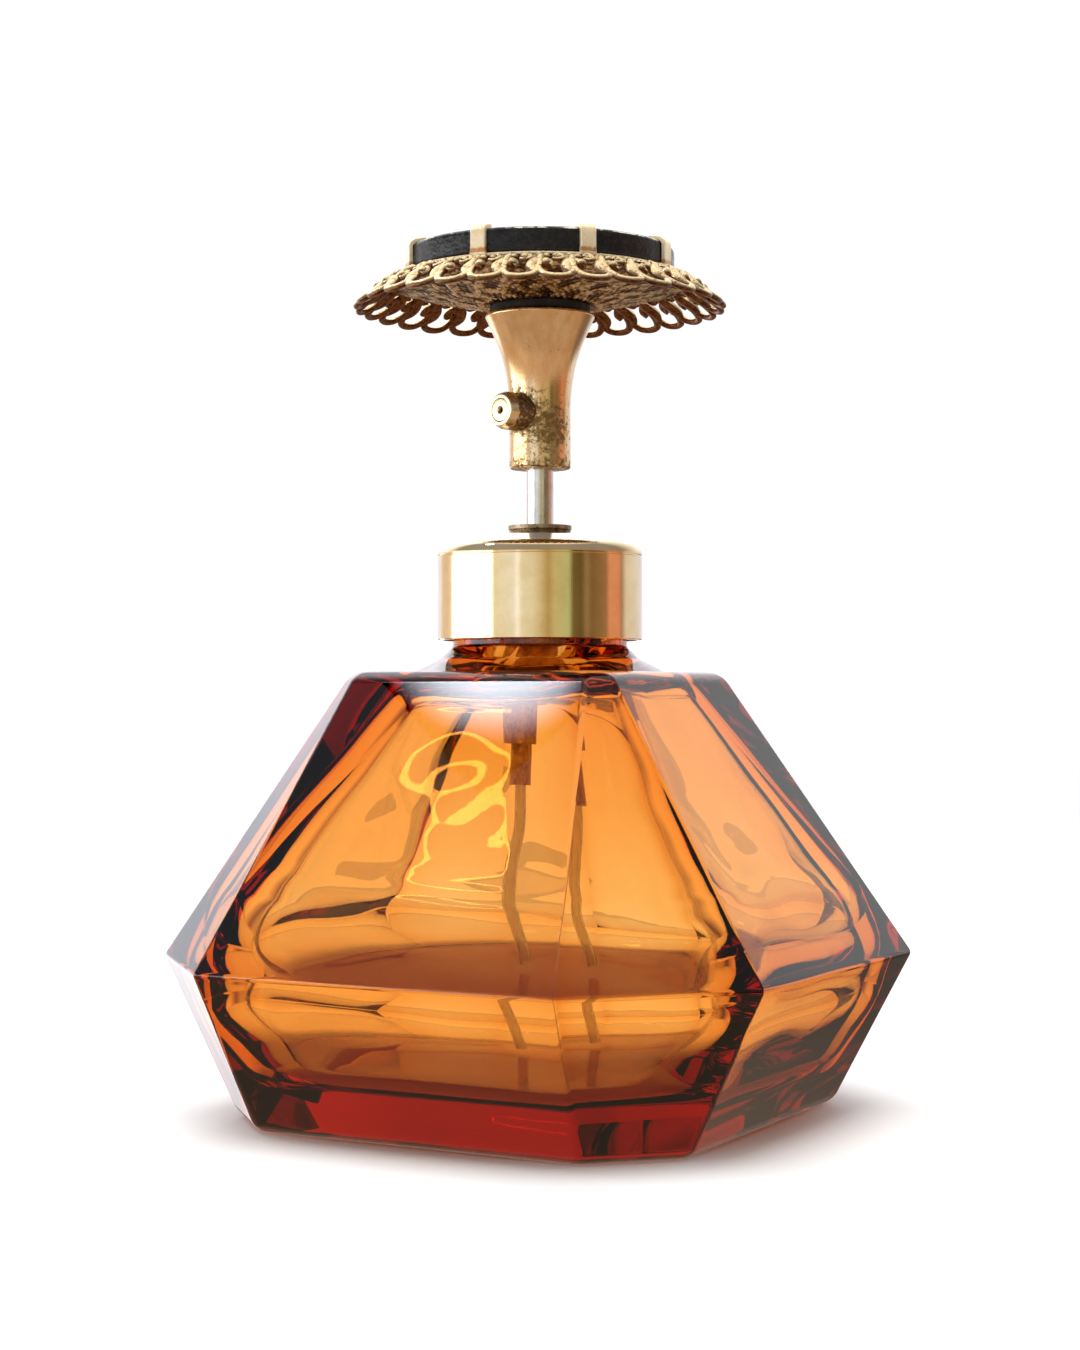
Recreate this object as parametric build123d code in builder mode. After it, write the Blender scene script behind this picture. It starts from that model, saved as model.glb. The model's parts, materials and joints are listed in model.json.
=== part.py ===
from build123d import *
from math import cos, radians, sin, sqrt, tan
import os

# A finger-pump perfume atomiser: a thick glass bottle shaped as a square with cut corners,
# a screw collar, a spring-return pump, and a push head that carries a nozzle and an ornament.
# The origin is the centre of the bottle's base, +Z is up, and sizes are in millimetres.

# Bottle: three levels of a square with cut corners, each as
# (height, half width, half face width, rounding of the upright edges).
BASE_LEVEL = (0.0, 26.2, 18.4, 1.8)
GIRDLE_LEVEL = (16.8, 34.7, 20.1, 0.6)
SHOULDER_LEVEL = (46.9, 15.25, 13.5, 1.0)
BASE_ROUND = 2.4
SHOULDER_ROUND = 1.5

# Bottle: the hollow, as (height, half width, corner radius), and the roundings of its turns.
HOLLOW_FLOOR = (6.4, 22.6, 12.0)
HOLLOW_GIRDLE = (17.4, 29.0, 17.0)
HOLLOW_ROOF = (43.4, 11.6, 7.0)
HOLLOW_FLOOR_ROUND = 5.0
HOLLOW_ROOF_ROUND = 3.0

# Bottle: the low cone on top, the neck and its thread.
PLATEAU_RADIUS = 13.6
NECK_FOOT_RADIUS = 10.6
NECK_FOOT_HEIGHT = 48.4
NECK_FLARE_RISE = 1.1
NECK_FLARE_ROUND = 1.4
NECK_RADIUS = 9.35
NECK_STEP_HEIGHT = 50.4
THREAD_ROOT_RADIUS = 8.55
NECK_BORE_RADIUS = 4.6
LIP_HEIGHT = 58.35
LIP_ROUND = 0.5

# Screw thread shared by the glass neck and the collar's liner.
THREAD_PITCH = 3.0
NECK_THREAD_DEPTH = 0.75
NECK_RIDGE_WIDTHS = (1.4, 0.7)
LINER_RIDGE_WIDTHS = (1.0, 0.6)
RIDGE_SINK = 0.15
NECK_THREAD_START = 53.2
NECK_THREAD_RISE = 3.9
LINER_THREAD_START = NECK_THREAD_START - THREAD_PITCH / 2
LINER_THREAD_RISE = 4.2

# Collar and liner.
COLLAR_RADIUS = 11.0
COLLAR_WALL = 0.6
COLLAR_BOTTOM = 50.3
COLLAR_SIDE_TOP = 59.0
COLLAR_SHOULDER_ROUND = 1.2
COLLAR_DOME_SLOPE = 15.0
COLLAR_HOLE_RADIUS = 2.75
LINER_BOTTOM = 50.7
LINER_TOP = 58.2
LINER_THREAD_ROOT = 9.5
LINER_THREAD_CREST = 8.75

# Pump cylinder.
GASKET_THICKNESS = 0.6
FLANGE_RADIUS = 8.2
FLANGE_BOTTOM = LIP_HEIGHT + GASKET_THICKNESS
FLANGE_TOP = FLANGE_BOTTOM + 0.9
HUB_RADIUS = 2.6
HUB_TOP = 61.4
CYLINDER_RADIUS = 2.95
CYLINDER_BOTTOM = 39.2
CYLINDER_BORE = 2.3
PISTON_STOP = 56.2
PACKING_FLOOR = 57.0
PACKING_BORE = 2.1
VENT_RADIUS = 0.3
VENT_HEIGHT = 55.6

# Stem and its running fits.
STEM_RADIUS = 1.45
STEM_BORE = 0.7
STEM_BOTTOM = 53.0
STEM_TOP = 72.2
RUNNING_FIT = 0.05
CONTACT_GAP = 0.02

# Gland nut and packing.
GLAND_NUT_RADIUS = 3.4
GLAND_NUT_BOTTOM = 61.5
GLAND_NUT_TOP = 62.6
GLAND_NUT_GROOVE = 0.15
GLAND_SPIGOT_BOTTOM = 58.45

# Piston.
PISTON_RADIUS = 2.22
PISTON_BOTTOM = 52.0
PISTON_TOP = PISTON_STOP - 0.1
RING_GROOVE_RADIUS = 1.87
RING_BOTTOM = 53.6
RING_TOP = 54.5
SEAL_EDGE_ROUND = 0.12

# Inlet valve and dip tube.
TAIL_RADIUS = 2.05
TAIL_BOTTOM = 34.0
TAIL_TOP = 38.6
FITTING_TOP = 41.2
BALL_CHAMBER = 1.2
SEAT_TOP = 39.0
SEAT_HOLE = 0.6
INLET_BALL_RADIUS = 1.0
INLET_BALL_GAP = 0.04
CAGE_RADIUS = 1.8
CAGE_BOTTOM = 40.8
CAGE_HOLE_CIRCLE = 0.95
CAGE_HOLE_RADIUS = 0.35
TUBE_RADIUS = 1.1
TUBE_BORE = 0.7
TUBE_TOP = 37.3
TUBE_ROUTE = [(0, 0, TUBE_TOP), (0, 0, 31.5), (-1.25, -2.6, 24.0), (2.0, -4.3, 15.5), (3.4, -4.4, 8.0)]

# Return spring, wound round the axis between the inlet fitting and the piston.
SPRING_COIL_RADIUS = 1.8
SPRING_WIRE_RADIUS = 0.2
SPRING_TURNS = 8

# Push head.
HEAD_BOTTOM = 68.7
HEAD_STEM_RADIUS = 3.3
HEAD_FLARE_START = 74.6
HEAD_FLARE_MIDDLE = (4.24, 81.15)
HEAD_TOP = 85.3
HEAD_TOP_RADIUS = 6.03
HEAD_RIM_TANGENT = (0.45, 1)
HEAD_EDGE_ROUND = 0.25
CHAMBER_RADIUS = 1.15
CHAMBER_FLOOR = STEM_TOP + 0.1
PLUG_RADIUS = 1.6
PLUG_BOTTOM = 77.9
PLUG_TOP = 79.3

# Outlet valve in the head.
OUTLET_BALL_RADIUS = 0.9
OUTLET_BALL_GAP = 0.04
OUTLET_COIL_RADIUS = 0.8
OUTLET_WIRE_RADIUS = 0.12
OUTLET_TURNS = 5

# Nozzle: distances are measured outwards from the pump's axis.
NOZZLE_HEIGHT = 74.6
NOZZLE_AZIMUTH = -106.5
NOZZLE_RADIUS = 2.0
NOZZLE_ROOT = 2.12
NOZZLE_END = 6.0
NOZZLE_FACE_RADIUS = 1.65
NOZZLE_BEVEL = 0.9
NOZZLE_BORE = 1.25
NOZZLE_BORE_FLOOR = 3.0
NOZZLE_CHANNEL = 0.4
INSERT_START = 5.2
ORIFICE_RADIUS = 0.18
CORE_START = 3.1
CORE_END = 5.1
CORE_GROOVES = 3
CORE_GROOVE_WIDTH = 0.4

# Ornament: washer, screw, filigree dish, claw setting and stone.
SEAT_WASHER_RADIUS = 5.15
SEAT_WASHER_TOP = 86.4
ORNAMENT_HOLE = 1.6
SCREW_RADIUS = 1.5
SCREW_BOTTOM = 79.7
SCREW_HEAD_RADIUS = 2.8
SCREW_HEAD_HEIGHT = 1.2
SCREW_SLOT = 0.6
SHEET = 0.6
DISH_FLAT_RADIUS = 6.6
DISH_CROWN_RADIUS = 15.8
DISH_CROWN_HEIGHT = 88.5
SCALLOP_COUNT = 32
SCALLOP_CENTRE = 18.05
SCALLOP_RADIUS = 1.95
RIM_HEIGHT = 85.75
LOOP_TOP_CENTRE = 17.75
LOOP_TOP_RADIUS = 0.95
LOOP_FOOT_CENTRE = 18.9
LOOP_FOOT_RADIUS = 0.5
BEAD_CIRCLE = 16.35
BEAD_HEIGHT = 89.1
BEAD_RADIUS = 0.62
SETTING_BOTTOM = 89.15
SETTING_SHEET = 0.35
SETTING_RADIUS = 14.65
CLAW_COUNT = 8
CLAW_START_AZIMUTH = -42.0
CLAW_WIDTH = 1.7
CLAW_SHEET = 0.4
CLAW_TIP_LENGTH = 1.1
STONE_RADIUS = 14.45
STONE_BOTTOM = 89.55
STONE_FOOT_BEVEL = 0.25
STONE_SIDE_TOP = 91.6
STONE_SHOULDER_ROUND = 0.55
STONE_DOME_SLOPE = 11.0

os.makedirs("parts", exist_ok=True)


def cut_square(half_width, half_face):
    """Corners of a square with cut corners, anticlockwise from the front face."""
    front = [(-half_face, -half_width), (half_face, -half_width)]
    right = [(half_width, -half_face), (half_width, half_face)]
    back = [(half_face, half_width), (-half_face, half_width)]
    left = [(-half_width, half_face), (-half_width, -half_face)]
    return front + right + back + left


def section(*points, plane=Plane.XZ):
    """A closed straight-sided half section; on Plane.XZ each point is (radius, height)."""
    with BuildSketch(plane) as outline:
        with BuildLine():
            Polyline(*points, close=True)
        make_face()
    return outline.sketch


def ring(inner, outer, bottom, top):
    """Half section of a plain ring or, with inner = 0, a disc."""
    return section((inner, bottom), (outer, bottom), (outer, top), (inner, top))


def thread_ridge(radius, start, rise, root_width, crest_width, depth):
    """One helical ridge; depth is positive outwards and negative inwards."""
    sink = -RIDGE_SINK if depth > 0 else RIDGE_SINK
    with BuildPart() as ridge:
        with BuildLine() as path:
            Helix(THREAD_PITCH, rise, radius, center=(0, 0, start))
        with BuildSketch(Plane(path.line @ 0, x_dir=(1, 0, 0), z_dir=path.line % 0)):
            with BuildLine():
                Polyline(
                    (sink, -root_width / 2),
                    (depth, -crest_width / 2),
                    (depth, crest_width / 2),
                    (sink, root_width / 2),
                    close=True,
                )
            make_face()
        sweep(path=path.line, is_frenet=True)
    return ridge.part


def coil(coil_radius, wire_radius, bottom, top, turns):
    """A helical spring between two heights, wire surface to wire surface."""
    rise = top - bottom - 2 * wire_radius
    with BuildPart() as spring:
        with BuildLine() as path:
            Helix(rise / turns, rise, coil_radius, center=(0, 0, bottom + wire_radius))
        with BuildSketch(Plane(path.line @ 0, z_dir=path.line % 0)):
            Circle(wire_radius)
        sweep(path=path.line, is_frenet=True)
    return spring.part


def domed_section(radius, bottom, side_top, shoulder_round, dome_slope):
    """Half section of a drum: straight side, rounded shoulder, shallow dome that starts at dome_slope."""
    with BuildSketch(Plane.XZ) as outline:
        with BuildLine():
            Line((0, bottom), (radius, bottom))
            Line((radius, bottom), (radius, side_top))
            shoulder = JernArc((radius, side_top), (0, 1), shoulder_round, 90 - dome_slope)
            edge = shoulder @ 1
            dome = JernArc(edge, shoulder % 1, edge.X / sin(radians(dome_slope)), dome_slope)
            Line(dome @ 1, (0, bottom))
        make_face()
    return outline.sketch


def bend_radii(route):
    """The largest easy bend at each inner point of a route, from its two runs and its turn."""
    radii = []
    for before, corner, after in zip(route, route[1:], route[2:]):
        run_in = Vector(*corner) - Vector(*before)
        run_out = Vector(*after) - Vector(*corner)
        half_turn = radians(run_in.get_angle(run_out) / 2)
        radii.append(0.45 * min(run_in.length, run_out.length) / tan(half_turn))
    return radii


# ---------------------------------------------------------------- bottle

neck_thread = thread_ridge(
    THREAD_ROOT_RADIUS, NECK_THREAD_START, NECK_THREAD_RISE, *NECK_RIDGE_WIDTHS, NECK_THREAD_DEPTH
)

with BuildPart() as bottle_hollow:
    for lower, upper in ((HOLLOW_FLOOR, HOLLOW_GIRDLE), (HOLLOW_GIRDLE, HOLLOW_ROOF)):
        for height, half_width, corner_radius in (lower, upper):
            with BuildSketch(Plane.XY.offset(height)):
                RectangleRounded(2 * half_width, 2 * half_width, corner_radius)
        loft(ruled=True)
    fillet(bottle_hollow.edges().group_by(Axis.Z)[0], HOLLOW_FLOOR_ROUND)
    fillet(bottle_hollow.edges().group_by(Axis.Z)[-1], HOLLOW_ROOF_ROUND)

with BuildPart() as bottle:
    for lower, upper in ((BASE_LEVEL, GIRDLE_LEVEL), (GIRDLE_LEVEL, SHOULDER_LEVEL)):
        for height, half_width, half_face, edge_round in (lower, upper):
            with BuildSketch(Plane.XY.offset(height)) as level:
                with BuildLine():
                    Polyline(*cut_square(half_width, half_face), close=True)
                make_face()
                fillet(level.vertices(), edge_round)
        loft(ruled=True)
    fillet(bottle.edges().group_by(Axis.Z)[0], BASE_ROUND)
    fillet(bottle.edges().group_by(Axis.Z)[-1], SHOULDER_ROUND)
    with BuildSketch(Plane.XZ):
        with BuildLine():
            Polyline(
                (0, SHOULDER_LEVEL[0] - 1),
                (PLATEAU_RADIUS, SHOULDER_LEVEL[0] - 1),
                (PLATEAU_RADIUS, SHOULDER_LEVEL[0]),
                (NECK_FOOT_RADIUS, NECK_FOOT_HEIGHT),
            )
            neck_flare_top = (NECK_RADIUS, NECK_FOOT_HEIGHT + NECK_FLARE_RISE)
            RadiusArc((NECK_FOOT_RADIUS, NECK_FOOT_HEIGHT), neck_flare_top, NECK_FLARE_ROUND)
            Polyline(
                neck_flare_top,
                (NECK_RADIUS, NECK_STEP_HEIGHT),
                (THREAD_ROOT_RADIUS, NECK_STEP_HEIGHT + 0.4),
                (THREAD_ROOT_RADIUS, LIP_HEIGHT - LIP_ROUND),
            )
            lip = JernArc((THREAD_ROOT_RADIUS, LIP_HEIGHT - LIP_ROUND), (0, 1), LIP_ROUND, 90)
            Polyline(lip @ 1, (0, LIP_HEIGHT), (0, SHOULDER_LEVEL[0] - 1))
        make_face()
    revolve(axis=Axis.Z)
    add(bottle_hollow.part, mode=Mode.SUBTRACT)
    revolve(ring(0, NECK_BORE_RADIUS, HOLLOW_ROOF[0] - 1, LIP_HEIGHT + 1), axis=Axis.Z, mode=Mode.SUBTRACT)
    add(neck_thread)
bottle.part.label = "bottle"
export_step(bottle.part, "parts/bottle.step")

# ---------------------------------------------------------------- collar, liner and gasket

with BuildPart() as collar:
    inner_radius = COLLAR_RADIUS - COLLAR_WALL
    inner_round = COLLAR_SHOULDER_ROUND - COLLAR_WALL
    drum = domed_section(
        COLLAR_RADIUS, COLLAR_BOTTOM, COLLAR_SIDE_TOP, COLLAR_SHOULDER_ROUND, COLLAR_DOME_SLOPE
    )
    revolve(drum, axis=Axis.Z)
    inside = domed_section(inner_radius, COLLAR_BOTTOM, COLLAR_SIDE_TOP, inner_round, COLLAR_DOME_SLOPE)
    revolve(inside, axis=Axis.Z, mode=Mode.SUBTRACT)
    revolve(ring(0, COLLAR_HOLE_RADIUS, COLLAR_SIDE_TOP, GLAND_NUT_TOP), axis=Axis.Z, mode=Mode.SUBTRACT)
collar.part.label = "collar"
export_step(collar.part, "parts/collar.step")

liner_thread_depth = LINER_THREAD_CREST - LINER_THREAD_ROOT
liner_thread = thread_ridge(
    LINER_THREAD_ROOT, LINER_THREAD_START, LINER_THREAD_RISE, *LINER_RIDGE_WIDTHS, liner_thread_depth
)

with BuildPart() as collar_insert:
    liner_radius = inner_radius - CONTACT_GAP
    revolve(ring(LINER_THREAD_ROOT, liner_radius, LINER_BOTTOM, LINER_TOP), axis=Axis.Z)
    add(liner_thread)
collar_insert.part.label = "collar_insert"
export_step(collar_insert.part, "parts/collar_insert.step")

with BuildPart() as neck_gasket:
    gasket_bottom = LIP_HEIGHT + CONTACT_GAP
    revolve(ring(CYLINDER_RADIUS + 0.1, FLANGE_RADIUS, gasket_bottom, FLANGE_BOTTOM), axis=Axis.Z)
neck_gasket.part.label = "neck_gasket"
export_step(neck_gasket.part, "parts/neck_gasket.step")

# ---------------------------------------------------------------- pump cylinder and gland

with BuildPart() as pump_body:
    cylinder_outline = section(
        (CYLINDER_BORE, CYLINDER_BOTTOM),
        (CYLINDER_RADIUS, CYLINDER_BOTTOM),
        (CYLINDER_RADIUS, FLANGE_BOTTOM + CONTACT_GAP),
        (FLANGE_RADIUS, FLANGE_BOTTOM + CONTACT_GAP),
        (FLANGE_RADIUS, FLANGE_TOP),
        (HUB_RADIUS, FLANGE_TOP),
        (HUB_RADIUS, HUB_TOP),
        (PACKING_BORE, HUB_TOP),
        (PACKING_BORE, PACKING_FLOOR),
        (STEM_RADIUS + 3 * RUNNING_FIT, PACKING_FLOOR),
        (STEM_RADIUS + 3 * RUNNING_FIT, PISTON_STOP),
        (CYLINDER_BORE, PISTON_STOP),
    )
    revolve(cylinder_outline, axis=Axis.Z)
    with BuildSketch(Plane.XZ):
        with Locations((0, VENT_HEIGHT)):
            Circle(VENT_RADIUS)
    extrude(amount=CYLINDER_RADIUS + 1, mode=Mode.SUBTRACT)
pump_body.part.label = "pump_body"
export_step(pump_body.part, "parts/pump_body.step")

with BuildPart() as gland_nut:
    nut_middle = (GLAND_NUT_BOTTOM + GLAND_NUT_TOP) / 2
    nut_outline = section(
        (STEM_RADIUS + RUNNING_FIT, GLAND_SPIGOT_BOTTOM),
        (PACKING_BORE - CONTACT_GAP, GLAND_SPIGOT_BOTTOM),
        (PACKING_BORE - CONTACT_GAP, GLAND_NUT_BOTTOM),
        (GLAND_NUT_RADIUS, GLAND_NUT_BOTTOM),
        (GLAND_NUT_RADIUS, nut_middle - GLAND_NUT_GROOVE),
        (GLAND_NUT_RADIUS - GLAND_NUT_GROOVE, nut_middle),
        (GLAND_NUT_RADIUS, nut_middle + GLAND_NUT_GROOVE),
        (GLAND_NUT_RADIUS, GLAND_NUT_TOP),
        (STEM_RADIUS + RUNNING_FIT, GLAND_NUT_TOP),
    )
    revolve(nut_outline, axis=Axis.Z)
gland_nut.part.label = "gland_nut"
export_step(gland_nut.part, "parts/gland_nut.step")

with BuildPart() as gland_seal:
    seal_inner = STEM_RADIUS + CONTACT_GAP
    seal_outer = PACKING_BORE - CONTACT_GAP
    seal_bottom = PACKING_FLOOR + CONTACT_GAP
    revolve(ring(seal_inner, seal_outer, seal_bottom, GLAND_SPIGOT_BOTTOM - CONTACT_GAP), axis=Axis.Z)
gland_seal.part.label = "gland_seal"
export_step(gland_seal.part, "parts/gland_seal.step")

# ---------------------------------------------------------------- inlet valve and dip tube

with BuildPart() as inlet_fitting:
    seat_slope_bottom = SEAT_TOP - (BALL_CHAMBER - SEAT_HOLE)
    fitting_outline = section(
        (TUBE_RADIUS + CONTACT_GAP, TAIL_BOTTOM),
        (TAIL_RADIUS, TAIL_BOTTOM),
        (TAIL_RADIUS, TAIL_TOP),
        (CYLINDER_RADIUS, TAIL_TOP),
        (CYLINDER_RADIUS, CYLINDER_BOTTOM - CONTACT_GAP),
        (CYLINDER_BORE - CONTACT_GAP, CYLINDER_BOTTOM - CONTACT_GAP),
        (CYLINDER_BORE - CONTACT_GAP, FITTING_TOP),
        (CAGE_RADIUS + CONTACT_GAP, FITTING_TOP),
        (CAGE_RADIUS + CONTACT_GAP, CAGE_BOTTOM),
        (BALL_CHAMBER, CAGE_BOTTOM),
        (BALL_CHAMBER, SEAT_TOP),
        (SEAT_HOLE, seat_slope_bottom),
        (SEAT_HOLE, TUBE_TOP + CONTACT_GAP),
        (TUBE_RADIUS + CONTACT_GAP, TUBE_TOP + CONTACT_GAP),
    )
    revolve(fitting_outline, axis=Axis.Z)
inlet_fitting.part.label = "inlet_fitting"
export_step(inlet_fitting.part, "parts/inlet_fitting.step")

# The ball rests on the 45 degree seat, a hair above contact.
inlet_ball_height = seat_slope_bottom - SEAT_HOLE + sqrt(2) * (INLET_BALL_RADIUS + INLET_BALL_GAP)

with BuildPart() as inlet_ball:
    with Locations((0, 0, inlet_ball_height)):
        Sphere(INLET_BALL_RADIUS)
inlet_ball.part.label = "inlet_ball"
export_step(inlet_ball.part, "parts/inlet_ball.step")

with BuildPart() as ball_cage:
    with BuildSketch(Plane.XY.offset(CAGE_BOTTOM + CONTACT_GAP)):
        Circle(CAGE_RADIUS)
        with PolarLocations(CAGE_HOLE_CIRCLE, 3):
            Circle(CAGE_HOLE_RADIUS, mode=Mode.SUBTRACT)
    extrude(amount=FITTING_TOP - CAGE_BOTTOM - 2 * CONTACT_GAP)
ball_cage.part.label = "ball_cage"
export_step(ball_cage.part, "parts/ball_cage.step")

with BuildPart() as dip_tube:
    with BuildLine() as tube_path:
        FilletPolyline(*TUBE_ROUTE, radius=bend_radii(TUBE_ROUTE))
    with BuildSketch(Plane(tube_path.line @ 0, z_dir=tube_path.line % 0)):
        Circle(TUBE_RADIUS)
        Circle(TUBE_BORE, mode=Mode.SUBTRACT)
    sweep(path=tube_path.line)
dip_tube.part.label = "dip_tube"
export_step(dip_tube.part, "parts/dip_tube.step")

# ---------------------------------------------------------------- stem, piston and return spring

with BuildPart() as stem:
    revolve(ring(STEM_BORE, STEM_RADIUS, STEM_BOTTOM, STEM_TOP), axis=Axis.Z)
stem.part.label = "stem"
export_step(stem.part, "parts/stem.step")

with BuildPart() as piston:
    piston_outline = section(
        (STEM_BORE, PISTON_BOTTOM),
        (PISTON_RADIUS, PISTON_BOTTOM),
        (PISTON_RADIUS, RING_BOTTOM),
        (RING_GROOVE_RADIUS, RING_BOTTOM),
        (RING_GROOVE_RADIUS, RING_TOP),
        (PISTON_RADIUS, RING_TOP),
        (PISTON_RADIUS, PISTON_TOP),
        (STEM_RADIUS + CONTACT_GAP, PISTON_TOP),
        (STEM_RADIUS + CONTACT_GAP, STEM_BOTTOM - CONTACT_GAP),
        (STEM_BORE, STEM_BOTTOM - CONTACT_GAP),
    )
    revolve(piston_outline, axis=Axis.Z)
piston.part.label = "piston"
export_step(piston.part, "parts/piston.step")

with BuildPart() as piston_seal:
    groove_floor = RING_GROOVE_RADIUS + CONTACT_GAP
    seal_lip = CYLINDER_BORE - RUNNING_FIT / 2
    revolve(ring(groove_floor, seal_lip, RING_BOTTOM + RUNNING_FIT, RING_TOP - RUNNING_FIT), axis=Axis.Z)
    fillet(piston_seal.edges(), SEAL_EDGE_ROUND)
piston_seal.part.label = "piston_seal"
export_step(piston_seal.part, "parts/piston_seal.step")

return_spring = coil(
    SPRING_COIL_RADIUS,
    SPRING_WIRE_RADIUS,
    FITTING_TOP + RUNNING_FIT,
    PISTON_BOTTOM - RUNNING_FIT,
    SPRING_TURNS,
)
return_spring.label = "return_spring"
export_step(return_spring, "parts/return_spring.step")

# ---------------------------------------------------------------- push head and outlet valve

nozzle_direction = Vector(cos(radians(NOZZLE_AZIMUTH)), sin(radians(NOZZLE_AZIMUTH)), 0)
nozzle_plane = Plane((0, 0, NOZZLE_HEIGHT), x_dir=(0, 0, 1), z_dir=nozzle_direction)
nozzle_side = nozzle_direction.cross(Vector(0, 0, 1))
nozzle_section = Plane((0, 0, NOZZLE_HEIGHT), x_dir=nozzle_direction, z_dir=nozzle_side)
nozzle_axis = Axis((0, 0, NOZZLE_HEIGHT), nozzle_direction)

with BuildPart() as actuator_head:
    with BuildSketch(Plane.XZ):
        with BuildLine():
            Polyline(
                (0, HEAD_TOP),
                (0, HEAD_BOTTOM),
                (HEAD_STEM_RADIUS, HEAD_BOTTOM),
                (HEAD_STEM_RADIUS, HEAD_FLARE_START),
            )
            Spline(
                (HEAD_STEM_RADIUS, HEAD_FLARE_START),
                HEAD_FLARE_MIDDLE,
                (HEAD_TOP_RADIUS, HEAD_TOP),
                tangents=((0, 1), HEAD_RIM_TANGENT),
            )
            Line((HEAD_TOP_RADIUS, HEAD_TOP), (0, HEAD_TOP))
        make_face()
    revolve(axis=Axis.Z)
    fillet(actuator_head.edges().group_by(Axis.Z)[0], HEAD_EDGE_ROUND)
    fillet(actuator_head.edges().group_by(Axis.Z)[-1], HEAD_EDGE_ROUND)
    bores = section(
        (0, HEAD_BOTTOM - 1),
        (STEM_RADIUS + RUNNING_FIT, HEAD_BOTTOM - 1),
        (STEM_RADIUS + RUNNING_FIT, CHAMBER_FLOOR),
        (CHAMBER_RADIUS, CHAMBER_FLOOR),
        (CHAMBER_RADIUS, PLUG_BOTTOM),
        (PLUG_RADIUS, PLUG_BOTTOM),
        (PLUG_RADIUS, HEAD_TOP + 1),
        (0, HEAD_TOP + 1),
    )
    revolve(bores, axis=Axis.Z, mode=Mode.SUBTRACT)
    with BuildSketch(nozzle_plane.offset(NOZZLE_ROOT - CONTACT_GAP)):
        Circle(NOZZLE_RADIUS + CONTACT_GAP)
    extrude(amount=NOZZLE_END, mode=Mode.SUBTRACT)
    with BuildSketch(nozzle_plane):
        Circle(NOZZLE_CHANNEL)
    extrude(amount=NOZZLE_ROOT, mode=Mode.SUBTRACT)
actuator_head.part.label = "actuator_head"
export_step(actuator_head.part, "parts/actuator_head.step")

outlet_ball_height = STEM_TOP + sqrt((OUTLET_BALL_RADIUS + OUTLET_BALL_GAP) ** 2 - STEM_BORE**2)

with BuildPart() as outlet_ball:
    with Locations((0, 0, outlet_ball_height)):
        Sphere(OUTLET_BALL_RADIUS)
outlet_ball.part.label = "outlet_ball"
export_step(outlet_ball.part, "parts/outlet_ball.step")

outlet_spring = coil(
    OUTLET_COIL_RADIUS,
    OUTLET_WIRE_RADIUS,
    outlet_ball_height + OUTLET_BALL_RADIUS + RUNNING_FIT,
    PLUG_BOTTOM - RUNNING_FIT,
    OUTLET_TURNS,
)
outlet_spring.label = "outlet_spring"
export_step(outlet_spring, "parts/outlet_spring.step")

with BuildPart() as head_plug:
    revolve(ring(0, PLUG_RADIUS - CONTACT_GAP, PLUG_BOTTOM + CONTACT_GAP, PLUG_TOP), axis=Axis.Z)
head_plug.part.label = "head_plug"
export_step(head_plug.part, "parts/head_plug.step")

# ---------------------------------------------------------------- nozzle

with BuildPart() as nozzle_body:
    nozzle_outline = section(
        (NOZZLE_ROOT, NOZZLE_CHANNEL),
        (NOZZLE_ROOT, NOZZLE_RADIUS),
        (NOZZLE_END - NOZZLE_BEVEL, NOZZLE_RADIUS),
        (NOZZLE_END - NOZZLE_BEVEL / 3, (2 * NOZZLE_RADIUS + NOZZLE_FACE_RADIUS) / 3),
        (NOZZLE_END, NOZZLE_FACE_RADIUS),
        (NOZZLE_END, NOZZLE_BORE),
        (NOZZLE_BORE_FLOOR, NOZZLE_BORE),
        (NOZZLE_BORE_FLOOR, NOZZLE_CHANNEL),
        plane=nozzle_section,
    )
    revolve(nozzle_outline, axis=nozzle_axis)
nozzle_body.part.label = "nozzle_body"
export_step(nozzle_body.part, "parts/nozzle_body.step")

with BuildPart() as nozzle_core:
    with BuildSketch(nozzle_plane.offset(CORE_START)):
        Circle(NOZZLE_BORE - CONTACT_GAP)
        with PolarLocations(NOZZLE_BORE, CORE_GROOVES):
            Rectangle(2 * CORE_GROOVE_WIDTH, CORE_GROOVE_WIDTH, mode=Mode.SUBTRACT)
    extrude(amount=CORE_END - CORE_START)
nozzle_core.part.label = "nozzle_core"
export_step(nozzle_core.part, "parts/nozzle_core.step")

with BuildPart() as nozzle_insert:
    with BuildSketch(nozzle_plane.offset(INSERT_START)):
        Circle(NOZZLE_BORE - CONTACT_GAP)
        Circle(ORIFICE_RADIUS, mode=Mode.SUBTRACT)
    extrude(amount=NOZZLE_END - INSERT_START - RUNNING_FIT)
nozzle_insert.part.label = "nozzle_insert"
export_step(nozzle_insert.part, "parts/nozzle_insert.step")

# ---------------------------------------------------------------- ornament

with BuildPart() as seat_washer:
    washer_bottom = HEAD_TOP + CONTACT_GAP
    washer_top = SEAT_WASHER_TOP - CONTACT_GAP
    revolve(ring(ORNAMENT_HOLE, SEAT_WASHER_RADIUS, washer_bottom, washer_top), axis=Axis.Z)
seat_washer.part.label = "seat_washer"
export_step(seat_washer.part, "parts/seat_washer.step")

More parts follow.
